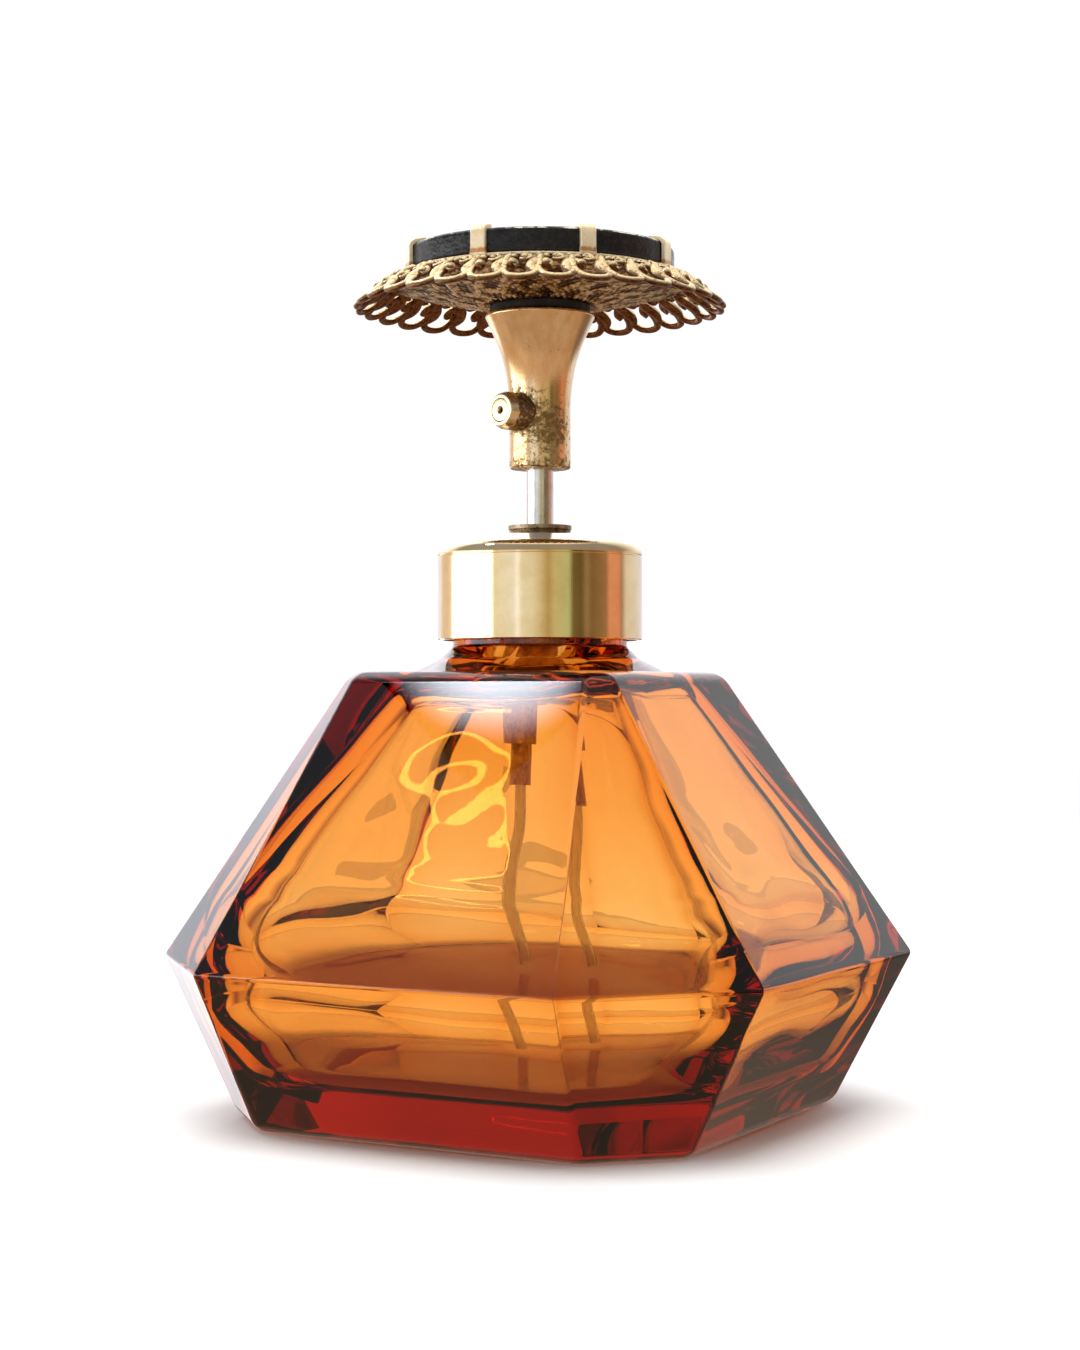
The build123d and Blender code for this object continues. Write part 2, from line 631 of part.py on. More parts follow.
with BuildPart() as ornament_screw:
    head_bottom = SEAT_WASHER_TOP + SHEET + CONTACT_GAP
    revolve(ring(0, SCREW_RADIUS, SCREW_BOTTOM, head_bottom), axis=Axis.Z)
    revolve(ring(0, SCREW_HEAD_RADIUS, head_bottom, head_bottom + SCREW_HEAD_HEIGHT), axis=Axis.Z)
    with BuildSketch(Plane.XY.offset(head_bottom + SCREW_HEAD_HEIGHT)):
        Rectangle(2 * SCREW_HEAD_RADIUS, SCREW_SLOT)
    extrude(amount=-SCREW_SLOT, mode=Mode.SUBTRACT)
ornament_screw.part.label = "ornament_screw"
export_step(ornament_screw.part, "parts/ornament_screw.step")

with BuildSketch() as loop_hole:
    with Locations((LOOP_TOP_CENTRE, 0)):
        Circle(LOOP_TOP_RADIUS)
    with Locations((LOOP_FOOT_CENTRE, 0)):
        Circle(LOOP_FOOT_RADIUS)
    make_hull()

with BuildPart() as filigree:
    rim_radius = SCALLOP_CENTRE + SCALLOP_RADIUS
    dish_outline = section(
        (ORNAMENT_HOLE, SEAT_WASHER_TOP),
        (DISH_FLAT_RADIUS, SEAT_WASHER_TOP),
        (DISH_CROWN_RADIUS, DISH_CROWN_HEIGHT),
        (rim_radius, RIM_HEIGHT),
        (rim_radius, RIM_HEIGHT + SHEET),
        (DISH_CROWN_RADIUS + SHEET / 2, DISH_CROWN_HEIGHT + SHEET),
        (DISH_CROWN_RADIUS - SHEET / 2, DISH_CROWN_HEIGHT + SHEET),
        (DISH_FLAT_RADIUS, SEAT_WASHER_TOP + SHEET),
        (ORNAMENT_HOLE, SEAT_WASHER_TOP + SHEET),
    )
    revolve(dish_outline, axis=Axis.Z)
    with BuildSketch(Plane.XY.offset(RIM_HEIGHT - 1)):
        Circle(SCALLOP_CENTRE)
        with PolarLocations(SCALLOP_CENTRE, SCALLOP_COUNT):
            Circle(SCALLOP_RADIUS)
    extrude(amount=SETTING_BOTTOM - RIM_HEIGHT + 2, mode=Mode.INTERSECT)
    with BuildSketch(Plane.XY.offset(RIM_HEIGHT - 1)):
        with PolarLocations(0, SCALLOP_COUNT):
            add(loop_hole.sketch)
    extrude(amount=SETTING_BOTTOM - RIM_HEIGHT + 2, mode=Mode.SUBTRACT)
    with Locations((0, 0, BEAD_HEIGHT)):
        with PolarLocations(BEAD_CIRCLE, SCALLOP_COUNT, start_angle=180 / SCALLOP_COUNT):
            Sphere(BEAD_RADIUS)
filigree.part.label = "filigree"
export_step(filigree.part, "parts/filigree.step")

with BuildPart() as claw:
    inner_face = STONE_RADIUS + RUNNING_FIT
    outer_face = inner_face + CLAW_SHEET
    inner_round = STONE_SHOULDER_ROUND + RUNNING_FIT
    plate_top = SETTING_BOTTOM + SETTING_SHEET
    with BuildSketch(Plane.XZ):
        with BuildLine():
            inner_bend = JernArc((inner_face, STONE_SIDE_TOP), (0, 1), inner_round, 90 - STONE_DOME_SLOPE)
            outer_round = inner_round + CLAW_SHEET
            outer_bend = JernArc((outer_face, STONE_SIDE_TOP), (0, 1), outer_round, 90 - STONE_DOME_SLOPE)
            inner_tip = inner_bend @ 1 + (inner_bend % 1) * CLAW_TIP_LENGTH
            outer_tip = outer_bend @ 1 + (outer_bend % 1) * CLAW_TIP_LENGTH
            Polyline(inner_bend @ 1, inner_tip, outer_tip, outer_bend @ 1)
            Polyline(
                (outer_face, STONE_SIDE_TOP),
                (outer_face, SETTING_BOTTOM),
                (SETTING_RADIUS - CLAW_WIDTH, SETTING_BOTTOM),
                (SETTING_RADIUS - CLAW_WIDTH, plate_top),
                (inner_face, plate_top),
                (inner_face, STONE_SIDE_TOP),
            )
        make_face()
    extrude(amount=CLAW_WIDTH / 2, both=True)

with BuildPart() as setting:
    revolve(ring(0, SETTING_RADIUS, SETTING_BOTTOM, plate_top), axis=Axis.Z)
    with PolarLocations(0, CLAW_COUNT, start_angle=CLAW_START_AZIMUTH):
        add(claw.part)
setting.part.label = "setting"
export_step(setting.part, "parts/setting.step")

with BuildPart() as cabochon:
    revolve(
        domed_section(STONE_RADIUS, STONE_BOTTOM, STONE_SIDE_TOP, STONE_SHOULDER_ROUND, STONE_DOME_SLOPE),
        axis=Axis.Z,
    )
    chamfer(cabochon.edges().group_by(Axis.Z)[0], STONE_FOOT_BEVEL)
cabochon.part.label = "cabochon"
export_step(cabochon.part, "parts/cabochon.step")
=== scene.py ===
import json
from math import atan2, cos, exp, hypot, pi, radians, sin, sqrt, tan

import bpy
from mathutils import Matrix, Vector, noise


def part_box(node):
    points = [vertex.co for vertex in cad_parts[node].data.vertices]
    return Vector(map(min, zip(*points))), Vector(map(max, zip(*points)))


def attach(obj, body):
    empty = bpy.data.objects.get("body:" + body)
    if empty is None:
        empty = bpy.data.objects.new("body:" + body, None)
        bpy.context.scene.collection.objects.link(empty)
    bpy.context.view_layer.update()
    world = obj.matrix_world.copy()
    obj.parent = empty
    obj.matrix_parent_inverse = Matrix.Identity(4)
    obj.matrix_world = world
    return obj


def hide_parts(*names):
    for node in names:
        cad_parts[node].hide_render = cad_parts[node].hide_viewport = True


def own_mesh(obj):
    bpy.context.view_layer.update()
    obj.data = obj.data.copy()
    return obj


# A finger-pump perfume atomiser: amber glass bottle, brass screw collar, pump, and a push head
# with a nozzle and a filigree ornament. Sizes in this script are in millimetres, heights are above
# the bottle's base, and every piece is scaled to metres as it is made.

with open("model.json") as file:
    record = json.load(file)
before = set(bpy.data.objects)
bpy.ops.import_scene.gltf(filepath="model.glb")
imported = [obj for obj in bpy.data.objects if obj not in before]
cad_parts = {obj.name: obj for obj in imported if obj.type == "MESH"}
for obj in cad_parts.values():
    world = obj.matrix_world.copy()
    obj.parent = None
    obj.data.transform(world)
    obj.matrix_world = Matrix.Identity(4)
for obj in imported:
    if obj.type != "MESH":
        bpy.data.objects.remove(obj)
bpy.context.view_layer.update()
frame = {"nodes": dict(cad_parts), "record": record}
MM = 0.001

# Camera, as it stands round the bottle.
CAMERA_AZIMUTH = radians(28.5)
TOWARD_CAMERA = Vector((sin(CAMERA_AZIMUTH), -cos(CAMERA_AZIMUTH), 0))
RIGHTWARD = Vector((cos(CAMERA_AZIMUTH), sin(CAMERA_AZIMUTH), 0))
CAMERA_DISTANCE = 255.8
CAMERA_HEIGHT = 44.2
CAMERA_PITCH = 0.535
CAMERA_LENS = 63.5

# Bottle: outside levels as (height, half width, half face width, rounding of the upright edges).
BASE_LEVEL = (0.0, 26.2, 18.4, 1.8)
GIRDLE_LEVEL = (16.8, 34.7, 20.1, 0.6)
SHOULDER_LEVEL = (46.9, 15.25, 13.5, 1.0)
BASE_ROUND = 2.4
GIRDLE_ROUND = 0.8
SHOULDER_ROUND = 2.6
ARC_STEPS = 5
SIDE_STEPS = 11
COLUMNS = 8 * (ARC_STEPS + SIDE_STEPS)

# Bottle: thread, and the plateau and neck as (radius, height, rounding).
THREAD_ROOT = 8.55
THREAD_DEPTH = 0.75
THREAD_START = 53.2
THREAD_PITCH = 3.0
THREAD_TURNS = 1.3
THREAD_RUNOUT = 0.06
THREAD_WIDTHS = (1.4, 0.7)
NECK_OUTLINE = (
    (13.4, SHOULDER_LEVEL[0], 0),
    (10.6, 48.3, 1.6),
    (9.35, 49.6, 0.6),
    (9.35, 50.4, 0.15),
    (THREAD_ROOT, 50.8, 0.15),
)
NECK_STEPS = 34
LIP_HEIGHT = 58.35
LIP_ROUND = 0.5
LIP_STEPS = 4

# Bottle: hollow as (half width, height, rounding), and its corner radius by height. The base and
# the hollow's floor each end at a small face in the middle.
MIDDLE = 0.5
NECK_BORE = 4.6
HOLLOW_FLOOR = 6.4
HOLLOW_TOP = 43.4
HOLLOW_OUTLINE = (
    (NECK_BORE, LIP_HEIGHT, LIP_ROUND),
    (NECK_BORE, HOLLOW_TOP, 1.8),
    (11.6, HOLLOW_TOP, 3.2),
    (30.2, 16.8, 9.0),
    (22.6, HOLLOW_FLOOR, 5.0),
    (MIDDLE, HOLLOW_FLOOR, 0),
)
HOLLOW_CORNERS = ((HOLLOW_FLOOR, 12.0), (17.4, 17.0), (HOLLOW_TOP, 7.0))
HOLLOW_STEP = 0.8

# Bottle: how uneven the hollow's wall is. Waves are all over it away from the neck, and streaks
# run round it near its widest.
WAVE_START = 6.0
WAVE_FADE = 6.0
WAVE_DEPTH = 0.22
WAVE_SIZE = 11.0
WAVE_SQUEEZE = 1.8
STREAK_DEPTH = 0.42
STREAK_LENGTH = 16.0
STREAK_WIDTH = 1.6
STREAK_LEVEL = 19.5
STREAK_SPREAD = 4.5

# Collar.
COLLAR_RADIUS = 11.0
COLLAR_WALL = 0.6
COLLAR_BOTTOM = 50.3
COLLAR_SIDE_TOP = 59.4
COLLAR_SHOULDER_ROUND = 1.2
COLLAR_SLOPE = 17.0
COLLAR_HOLE = 3.5
COLLAR_HOLE_RISE = 0.02
COLLAR_BEVEL = 0.1

# Line rolled into the collar under its dome, as (depth, distance below the side's top).
COLLAR_LINE = ((0.0, 0.25), (0.09, 0.16), (0.09, 0.08), (0.0, 0.0))

# Filigree dish, and its top from the rim inward as (radius, sheet, share of painted shade).
SHEET = 0.6
DISH_BORE = 1.6
DISH_RIM = 16.2
DISH_FLAT_RADIUS = 6.6
DISH_FLAT_HEIGHT = 86.4
DISH_CROWN_RADIUS = 15.8
DISH_CROWN_HEIGHT = 88.5
DISH_TOP = (
    (DISH_RIM, 0.15, 1.0),
    (14.8, 0.35, 1.0),
    (14.0, SHEET, 0.4),
    (12.0, SHEET, 0.3),
    (DISH_FLAT_RADIUS, SHEET, 0.3),
    (DISH_BORE, SHEET, 0.3),
)
DISH_RINGS = 90
RELIEF_DEPTH = 0.3
RELIEF_START = 5.2
RELIEF_FADE = 0.8
LEAF_SWAY = 0.35
LEAF_TWIST = 0.62
VEIN_TWIST = 2.6

# Scallops that hang from the dish's rim.
SCALLOPS = 32
SCALLOP_COLUMNS = 16
SKIRT_TOP = (16.0, 88.5)
SKIRT_SLOPE = 34.0
SKIRT_MIDDLE = 18.6
SCALLOP_SHAKE = 0.22

# One scallop as wires: knots (u, v, lift) along the rim and down the skirt, then start, middle and
# end radius. The hoop is the scallop's edge; leaf and curl narrow its opening from both sides, and
# the stalk, the ring and the beads lie on top.
HOOP = (
    (
        (-1.83, 1.6, 0),
        (-1.75, 2.9, 0),
        (-1.15, 4.05, 0),
        (0, 4.4, 0),
        (1.15, 4.05, 0),
        (1.75, 2.9, 0),
        (1.83, 1.6, 0),
    ),
    (0.42, 0.42, 0.42),
)
LEAF = (
    ((1.45, -0.4, 0), (1.75, 0.5, 0), (1.3, 1.4, 0), (1.1, 2.3, 0), (1.5, 3.3, 0)),
    (0.4, 0.66, 0.35),
)
CURL = (
    ((-1.83, 2.4, 0), (-1.8, 1.2, 0.05), (-1.15, 0.95, 0.1), (-0.75, 1.6, 0.1), (-1.0, 2.2, 0.1)),
    (0.42, 0.46, 0.46),
)
STALK = (
    ((1.85, 2.3, 0.15), (1.75, 1.2, 0.3), (1.95, 0.2, 0.35), (2.35, -0.5, 0.2)),
    (0.28, 0.40, 0.25),
)
RING = (
    (
        (-0.3, 0.5, 0.2),
        (0.35, 0.75, 0.25),
        (0.9, 0.25, 0.25),
        (0.6, -0.4, 0.25),
        (0.0, -0.3, 0.25),
        (-0.2, 0.2, 0.25),
    ),
    (0.24, 0.30, 0.22),
)
SCALLOP_WIRES = (HOOP, LEAF, CURL, STALK, RING)
SCALLOP_BEADS = (
    ((-1.0, 1.75, 0.2), 0.56),
    ((-0.95, 0.15, 0.15), 0.46),
    ((0.35, 0.15, 0.2), 0.3),
    ((-1.75, -0.3, 0.1), 0.45),
)

# Stone.
STONE_RADIUS = 14.45
STONE_BOTTOM = 89.55
STONE_SIDE_TOP = 91.6
STONE_BEVEL = 0.25
STONE_SHOULDER_ROUND = 0.55
STONE_SLOPE = 11.0
STONE_DENT = 0.03

# Setting: a plate with claws that follow the stone's side and bend over its edge.
PLATE_BORE = 0.3
PLATE_RADIUS = 14.65
PLATE_ROUND = 0.12
PLATE_BOTTOM = 89.15
PLATE_TOP = 89.5
CLAWS = 8
CLAW_START = -42.0
CLAW_GAP = 0.05
CLAW_LEVELS = (PLATE_BOTTOM + CLAW_GAP, 90.2, 91.0, STONE_SIDE_TOP)
CLAW_WIDTH = 1.7
CLAW_FOOT_SHARE = 1.12
CLAW_TIP_SHARE = 0.8
CLAW_SHEET = 0.4
CLAW_SOFT = 0.1
CLAW_BEND_STEPS = 6
CLAW_TIP = 1.1
CLAW_TIP_RISE = 0.9
CLAW_TIP_STEPS = 3

# Springs as (bottom, top, coil radius, wire radius, turns).
RETURN_SPRING = (41.25, 51.95, 1.8, 0.2, 8)
OUTLET_SPRING = (73.78, 77.85, 0.8, 0.12, 5)
SPRING_STEPS = 16

# Push head's foot, and its nozzle: where it points, and its barrel and spray insert as
# (radius, distance from the stem's axis, rounding).
HEAD_BOTTOM = 68.8
NOZZLE_AZIMUTH = radians(-106.5)
NOZZLE_AIM = Vector((cos(NOZZLE_AZIMUTH), sin(NOZZLE_AZIMUTH), 0))
NOZZLE_HEIGHT = 74.6
NOZZLE_END = 6.0
NOZZLE_BARREL = (
    (0.4, 2.12, 0),
    (2.0, 2.12, 0),
    (2.0, NOZZLE_END - 0.75, 0.35),
    (1.72, NOZZLE_END, 0.2),
    (1.28, NOZZLE_END, 0.03),
    (1.25, 5.9, 0),
    (1.25, 3.0, 0),
    (0.4, 3.0, 0),
)
SPRAY_INSERT = (
    (0.16, 5.2, 0),
    (1.22, 5.2, 0),
    (1.22, NOZZLE_END - 0.03, 0.06),
    (0.45, NOZZLE_END - 0.03, 0.05),
    (0.18, NOZZLE_END - 0.22, 0.03),
)

# Washer between the head and the ornament.
WASHER_BORE = 1.62
WASHER_RADIUS = 5.3
WASHER_ROUND = 0.25
WASHER_WEAR = 0.035

# ---- mesh tools


def add_object(name, data):
    """A new object in the scene."""
    thing = bpy.data.objects.new(name, data)
    bpy.context.scene.collection.objects.link(thing)
    return thing


def make_mesh(name, points, faces, material):
    """A mesh from points in millimetres."""
    mesh = bpy.data.meshes.new(name)
    mesh.from_pydata([Vector(point) * MM for point in points], [], faces)
    mesh.materials.append(material)
    return mesh


def make_piece(name, node, points, faces, body, slot, sharp=40, finish=None):
    """A piece that rides on a body and stands for a CAD node, in its slot's finish or another."""
    mesh = make_mesh(name, points, faces, MATERIALS[finish or slot])
    mesh.validate()
    mesh.shade_smooth()
    mesh.set_sharp_from_angle(angle=radians(sharp))
    piece = add_object(name, mesh)
    even_normals = piece.modifiers.new("even_normals", "WEIGHTED_NORMAL")
    even_normals.keep_sharp = True
    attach(piece, body)
    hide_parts(node)
    return piece


def clamped(value):
    """The value, kept from 0 to 1."""
    return min(1.0, max(0.0, value))


def at(r, angle, z):
    """A point at a distance and an angle about the Z axis."""
    return (r * cos(angle), r * sin(angle), z)


def rounded(corners, closed=True, steps=5):
    """Points (r, z) of an outline whose corners are (r, z, rounding)."""
    points = []
    count = len(corners)
    for i, (r, z, radius) in enumerate(corners):
        if radius == 0 or (not closed and i in (0, count - 1)):
            points.append((r, z))
            continue
        here = Vector((r, z))
        to_before = (Vector(corners[i - 1][:2]) - here).normalized()
        to_after = (Vector(corners[(i + 1) % count][:2]) - here).normalized()
        half_angle = to_before.angle(to_after) / 2
        reach = radius / tan(half_angle)
        centre = here + (to_before + to_after).normalized() * (radius / sin(half_angle))
        start = here + to_before * reach - centre
        end = here + to_after * reach - centre
        for k in range(steps + 1):
            arm = start.slerp(end, k / steps).normalized() * radius
            points.append(tuple(centre + arm))
    return points


def numbered(rows):
    """The points of equal rows in one list, and the rows again as their numbers in it."""
    width = len(rows[0])
    numbers = [list(range(i * width, (i + 1) * width)) for i in range(len(rows))]
    return [point for row in rows for point in row], numbers


def skin(rows, closed=True):
    """Faces that join rows of equal point counts; rows close on themselves."""
    faces = []
    count = len(rows[0])
    following_rows = rows[1:] + rows[:1] if closed else rows[1:]
    for row, following in zip(rows, following_rows):
        for k in range(count):
            after = (k + 1) % count
            faces.append([row[k], row[after], following[after], following[k]])
    return faces


def lathe(outline, segments=192):
    """Points and faces of a closed (r, z) outline turned about the Z axis; r = 0 makes a pole."""
    points, rows = [], []
    for r, z in outline:
        if r == 0:
            rows.append([len(points)] * segments)
            points.append((0, 0, z))
        else:
            rows.append([len(points) + k for k in range(segments)])
            points += [at(r, 2 * pi * k / segments, z) for k in range(segments)]
    faces = []
    poles = outline[0][0] == 0 and outline[-1][0] == 0
    for face in skin(rows, closed=not poles):
        distinct = list(dict.fromkeys(face))
        if len(distinct) > 2:
            faces.append(distinct[::-1])
    return points, faces


def wire(path, radius, sides=10, flatness=1.0, up=Vector((0, 0, 1))):
    """Points and faces of a wire along a path; radius is a function of the share of its length."""
    points, rows = [], []
    last = len(path) - 1
    for i, here in enumerate(path):
        ahead = (path[min(i + 1, last)] - path[max(i - 1, 0)]).normalized()
        side = ahead.cross(up).normalized()
        lift = side.cross(ahead).normalized()
        size = radius(i / last)
        rows.append([len(points) + k for k in range(sides)])
        for k in range(sides):
            angle = 2 * pi * k / sides
            points.append(here + side * (size * cos(angle)) + lift * (size * flatness * sin(angle)))
    faces = skin(rows, closed=False)
    return points, faces + [rows[0][::-1], rows[-1]]


def bead(centre, radius, rings=6, sides=10):
    """Points and faces of a round bead."""
    points, rows = [], []
    for i in range(1, rings):
        tilt = pi * i / rings
        rows.append([len(points) + k for k in range(sides)])
        for k in range(sides):
            outward = Vector(at(sin(tilt), 2 * pi * k / sides, cos(tilt)))
            points.append(centre + outward * radius)
    faces = [face[::-1] for face in skin(rows, closed=False)]
    for rise, row in ((radius, rows[0]), (-radius, rows[-1][::-1])):
        points.append(centre + Vector((0, 0, rise)))
        for k in range(sides):
            faces.append([len(points) - 1, row[k], row[(k + 1) % sides]])
    return points, faces


def joined(parts):
    """One list of points and one of faces from several."""
    points, faces = [], []
    for part_points, part_faces in parts:
        faces += [[len(points) + i for i in face] for face in part_faces]
        points += part_points
    return points, faces


def curve_through(knots, steps=6):
    """A smooth path through its knots, as a Catmull-Rom spline."""
    path = []
    last = len(knots) - 1
    for i in range(last):
        before, here = knots[max(i - 1, 0)], knots[i]
        after, beyond = knots[i + 1], knots[min(i + 2, last)]
        for k in range(steps):
            t = k / steps
            path.append(0.5 * (
                2 * here + (after - before) * t
                + (2 * before - 5 * here + 4 * after - beyond) * t**2
                + (3 * here - before - 3 * after + beyond) * t**3
            ))
    return path + [knots[-1]]


def between(value, table):
    """Straight-line look-up in a table of (value, result) in rising order."""
    for (low, first), (high, second) in zip(table, table[1:]):
        if value <= high:
            share = clamped((value - low) / (high - low))
            return first + (second - first) * share
    return table[-1][1]


def domed_outline(radius, bottom, side_top, shoulder_round, slope, arc_steps=6, dome_steps=10):
    """Outline of a drum from its bottom outer corner up the side and over the dome to the axis."""
    start = radians(slope)
    points = [(radius, bottom)]
    for k in range(arc_steps + 1):
        angle = (pi / 2 - start) * k / arc_steps
        points.append((radius - shoulder_round * (1 - cos(angle)), side_top + shoulder_round * sin(angle)))
    edge_radius, edge_height = points[-1]
    sphere = edge_radius / sin(start)
    centre = edge_height - sphere * cos(start)
    for k in range(1, dome_steps + 1):
        angle = start * (1 - k / dome_steps)
        points.append((sphere * sin(angle), centre + sphere * cos(angle)))
    return points


# ---- material tools


class Nodes:
    """A node tree, with short calls that add its shader nodes."""

    def __init__(self, tree, coordinates):
        self.tree = tree
        self.place = self.add("ShaderNodeTexCoord").outputs[coordinates]

    def add(self, kind, **settings):
        """A new node; each setting is one of its own or the value of an input."""
        node = self.tree.nodes.new(kind)
        for key, value in settings.items():
            if hasattr(node, key):
                setattr(node, key, value)
            else:
                node.inputs[key].default_value = value
        return node

    def put(self, socket, value):
        """Links a socket to another node's output, or sets it to a number or colour."""
        if isinstance(value, bpy.types.NodeSocket):
            self.tree.links.new(value, socket)
        elif isinstance(value, tuple) and socket.type == "RGBA":
            socket.default_value = (*value, 1)
        else:
            socket.default_value = value

    def math(self, operation, *values):
        """One step of arithmetic."""
        node = self.add("ShaderNodeMath", operation=operation)
        for socket, value in zip(node.inputs, values):
            self.put(socket, value)
        return node.outputs[0]

    def along(self, direction):
        """How far the place lies along a direction."""
        node = self.add("ShaderNodeVectorMath", operation="DOT_PRODUCT")
        self.put(node.inputs[0], self.place)
        node.inputs[1].default_value = direction
        return node.outputs["Value"]

    def fade(self, value, start, end, ease="LINEAR"):
        """0 where a value is at the start and 1 where it is at the end."""
        node = self.add("ShaderNodeMapRange", interpolation_type=ease)
        self.put(node.inputs["Value"], value)
        node.inputs["From Min"].default_value = start
        node.inputs["From Max"].default_value = end
        return node.outputs[0]

    def mix(self, share, first, second):
        """A blend of two colours."""
        node = self.add("ShaderNodeMix", data_type="RGBA")
        self.put(node.inputs[0], share)
        self.put(node.inputs[6], first)
        self.put(node.inputs[7], second)
        return node.outputs[2]

    def ramp(self, source, *stops):
        """A colour ramp; stops are (position, number or colour)."""
        node = self.add("ShaderNodeValToRGB")
        while len(node.color_ramp.elements) < len(stops):
            node.color_ramp.elements.new(0.5)
        for element, (position, colour) in zip(node.color_ramp.elements, stops):
            element.position = position
            element.color = (*colour, 1) if isinstance(colour, tuple) else (colour, colour, colour, 1)
        self.put(node.inputs["Fac"], source)
        return node.outputs["Color"]


class Finish(Nodes):
    """A procedural material on object coordinates, with its sizes in millimetres."""

    def __init__(self, name):
        self.material = bpy.data.materials.new(name)
        self.material.use_nodes = True
        super().__init__(self.material.node_tree, "Object")
        self.shader = self.tree.nodes["Principled BSDF"]
        self.output = self.tree.nodes["Material Output"]

    def shade(self, **values):
        """Sets inputs of the shader, with _ for each space in their names."""
        for key, value in values.items():
            self.put(self.shader.inputs[key.replace("_", " ")], value)

    def noise(self, size, detail=4.0, rough=0.55, stretch=(1, 1, 1), twist=0.0):
        """Noise from 0 to 1 whose features are about as large as the size."""
        mapping = self.add("ShaderNodeMapping", Scale=stretch)
        self.put(mapping.inputs["Vector"], self.place)
        node = self.add("ShaderNodeTexNoise", Detail=detail, Roughness=rough, Distortion=twist)
        node.inputs["Scale"].default_value = 1 / (size * MM)
        self.put(node.inputs["Vector"], mapping.outputs["Vector"])
        return node.outputs["Fac"]

    def attribute(self, name):
        """A number that the mesh holds at each point."""
        return self.add("ShaderNodeAttribute", attribute_name=name).outputs["Fac"]

    def height_between(self, start, end):
        """0 at the start height and 1 at the end one."""
        return self.fade(self.along((0, 0, 1)), start * MM, end * MM)

    def near(self, centre, inner, outer):
        """1 within the inner distance of a point and 0 beyond the outer one, or the other way round."""
        node = self.add("ShaderNodeVectorMath", operation="DISTANCE")
        self.put(node.inputs[0], self.place)
        node.inputs[1].default_value = Vector(centre) * MM
        return self.fade(node.outputs["Value"], outer * MM, inner * MM, "SMOOTHSTEP")

    def bump(self, height, depth, strength=1.0):
        """Bump on the shader."""
        node = self.add("ShaderNodeBump", Distance=depth * MM, Strength=strength)
        self.put(node.inputs["Height"], height)
        self.put(self.shader.inputs["Normal"], node.outputs["Normal"])


def metal(name, bright, dull, roughness, blotch=2.0, scratch=0.01, patina=None):
    """A metal with dull blotches, fine scratches and, if given, a patina colour in spots."""
    finish = Finish(name)
    blotches = finish.ramp(finish.noise(blotch, 6.0, 0.65), (0.42, 0.0), (0.66, 1.0))
    colour = finish.mix(blotches, bright, dull)
    rough = finish.ramp(finish.noise(blotch * 0.6, 5.0), (0.3, roughness[0]), (0.7, roughness[1]))
    if patina:
        spots = finish.ramp(finish.noise(blotch * 0.35, 8.0, 0.75), (0.56, 0.0), (0.66, 1.0))
        colour = finish.mix(spots, colour, patina)
        rough = finish.mix(spots, rough, (0.55, 0.55, 0.55))
    finish.shade(Base_Color=colour, Metallic=1.0, Roughness=rough)
    finish.bump(finish.noise(0.12, 3.0, 0.6, (1, 1, 0.15)), scratch)
    return finish.material


def amber_glass():
    """Clear glass with the amber in its depth, and a faint slow wave on its surface."""
    finish = Finish("amber_glass")
    finish.shade(Base_Color=(1.0, 1.0, 1.0), Roughness=0.0, IOR=1.5, Transmission_Weight=1.0)
    finish.bump(finish.noise(14.0, 1.0, 0.4), 0.02, 0.5)
    volume = finish.add("ShaderNodeVolumeAbsorption", Density=300.0, Color=(0.91, 0.60, 0.0, 1))
    finish.put(finish.output.inputs["Volume"], volume.outputs[0])
    return finish.material


def head_brass():
    """Satin worn gold with olive-brown patina round the nozzle and at the foot."""
    finish = Finish("head_brass")
    nozzle_foot = at(3.4, NOZZLE_AZIMUTH, NOZZLE_HEIGHT)
    beside = at(3.2, NOZZLE_AZIMUTH + 1.0, NOZZLE_HEIGHT - 1.5)
    around = finish.math("MAXIMUM", finish.near(nozzle_foot, 1.6, 4.2), finish.near(beside, 0.8, 5.0))
    foot = finish.height_between(HEAD_BOTTOM + 2.7, HEAD_BOTTOM)
    dirt = finish.math("MAXIMUM", around, finish.math("MULTIPLY", foot, 0.8))
    grain = finish.noise(0.55, 8.0, 0.75)
    spots = finish.ramp(finish.math("MULTIPLY_ADD", dirt, 0.22, grain), (0.60, 0.0), (0.72, 1.0))
    wear = finish.ramp(finish.noise(1.6, 6.0, 0.65, (1, 1, 0.35)), (0.35, 0.0), (0.7, 1.0))
    gold = finish.mix(wear, (0.98, 0.76, 0.48), (0.80, 0.50, 0.22))
    rough = finish.ramp(wear, (0.0, 0.10), (1.0, 0.19))
    finish.shade(Base_Color=finish.mix(spots, gold, (0.34, 0.23, 0.09)), Metallic=1.0)
    finish.shade(Roughness=finish.mix(spots, rough, (0.6, 0.6, 0.6)))
    finish.bump(finish.noise(0.18, 4.0, 0.7, (1, 1, 0.4)), 0.01)
    return finish.material


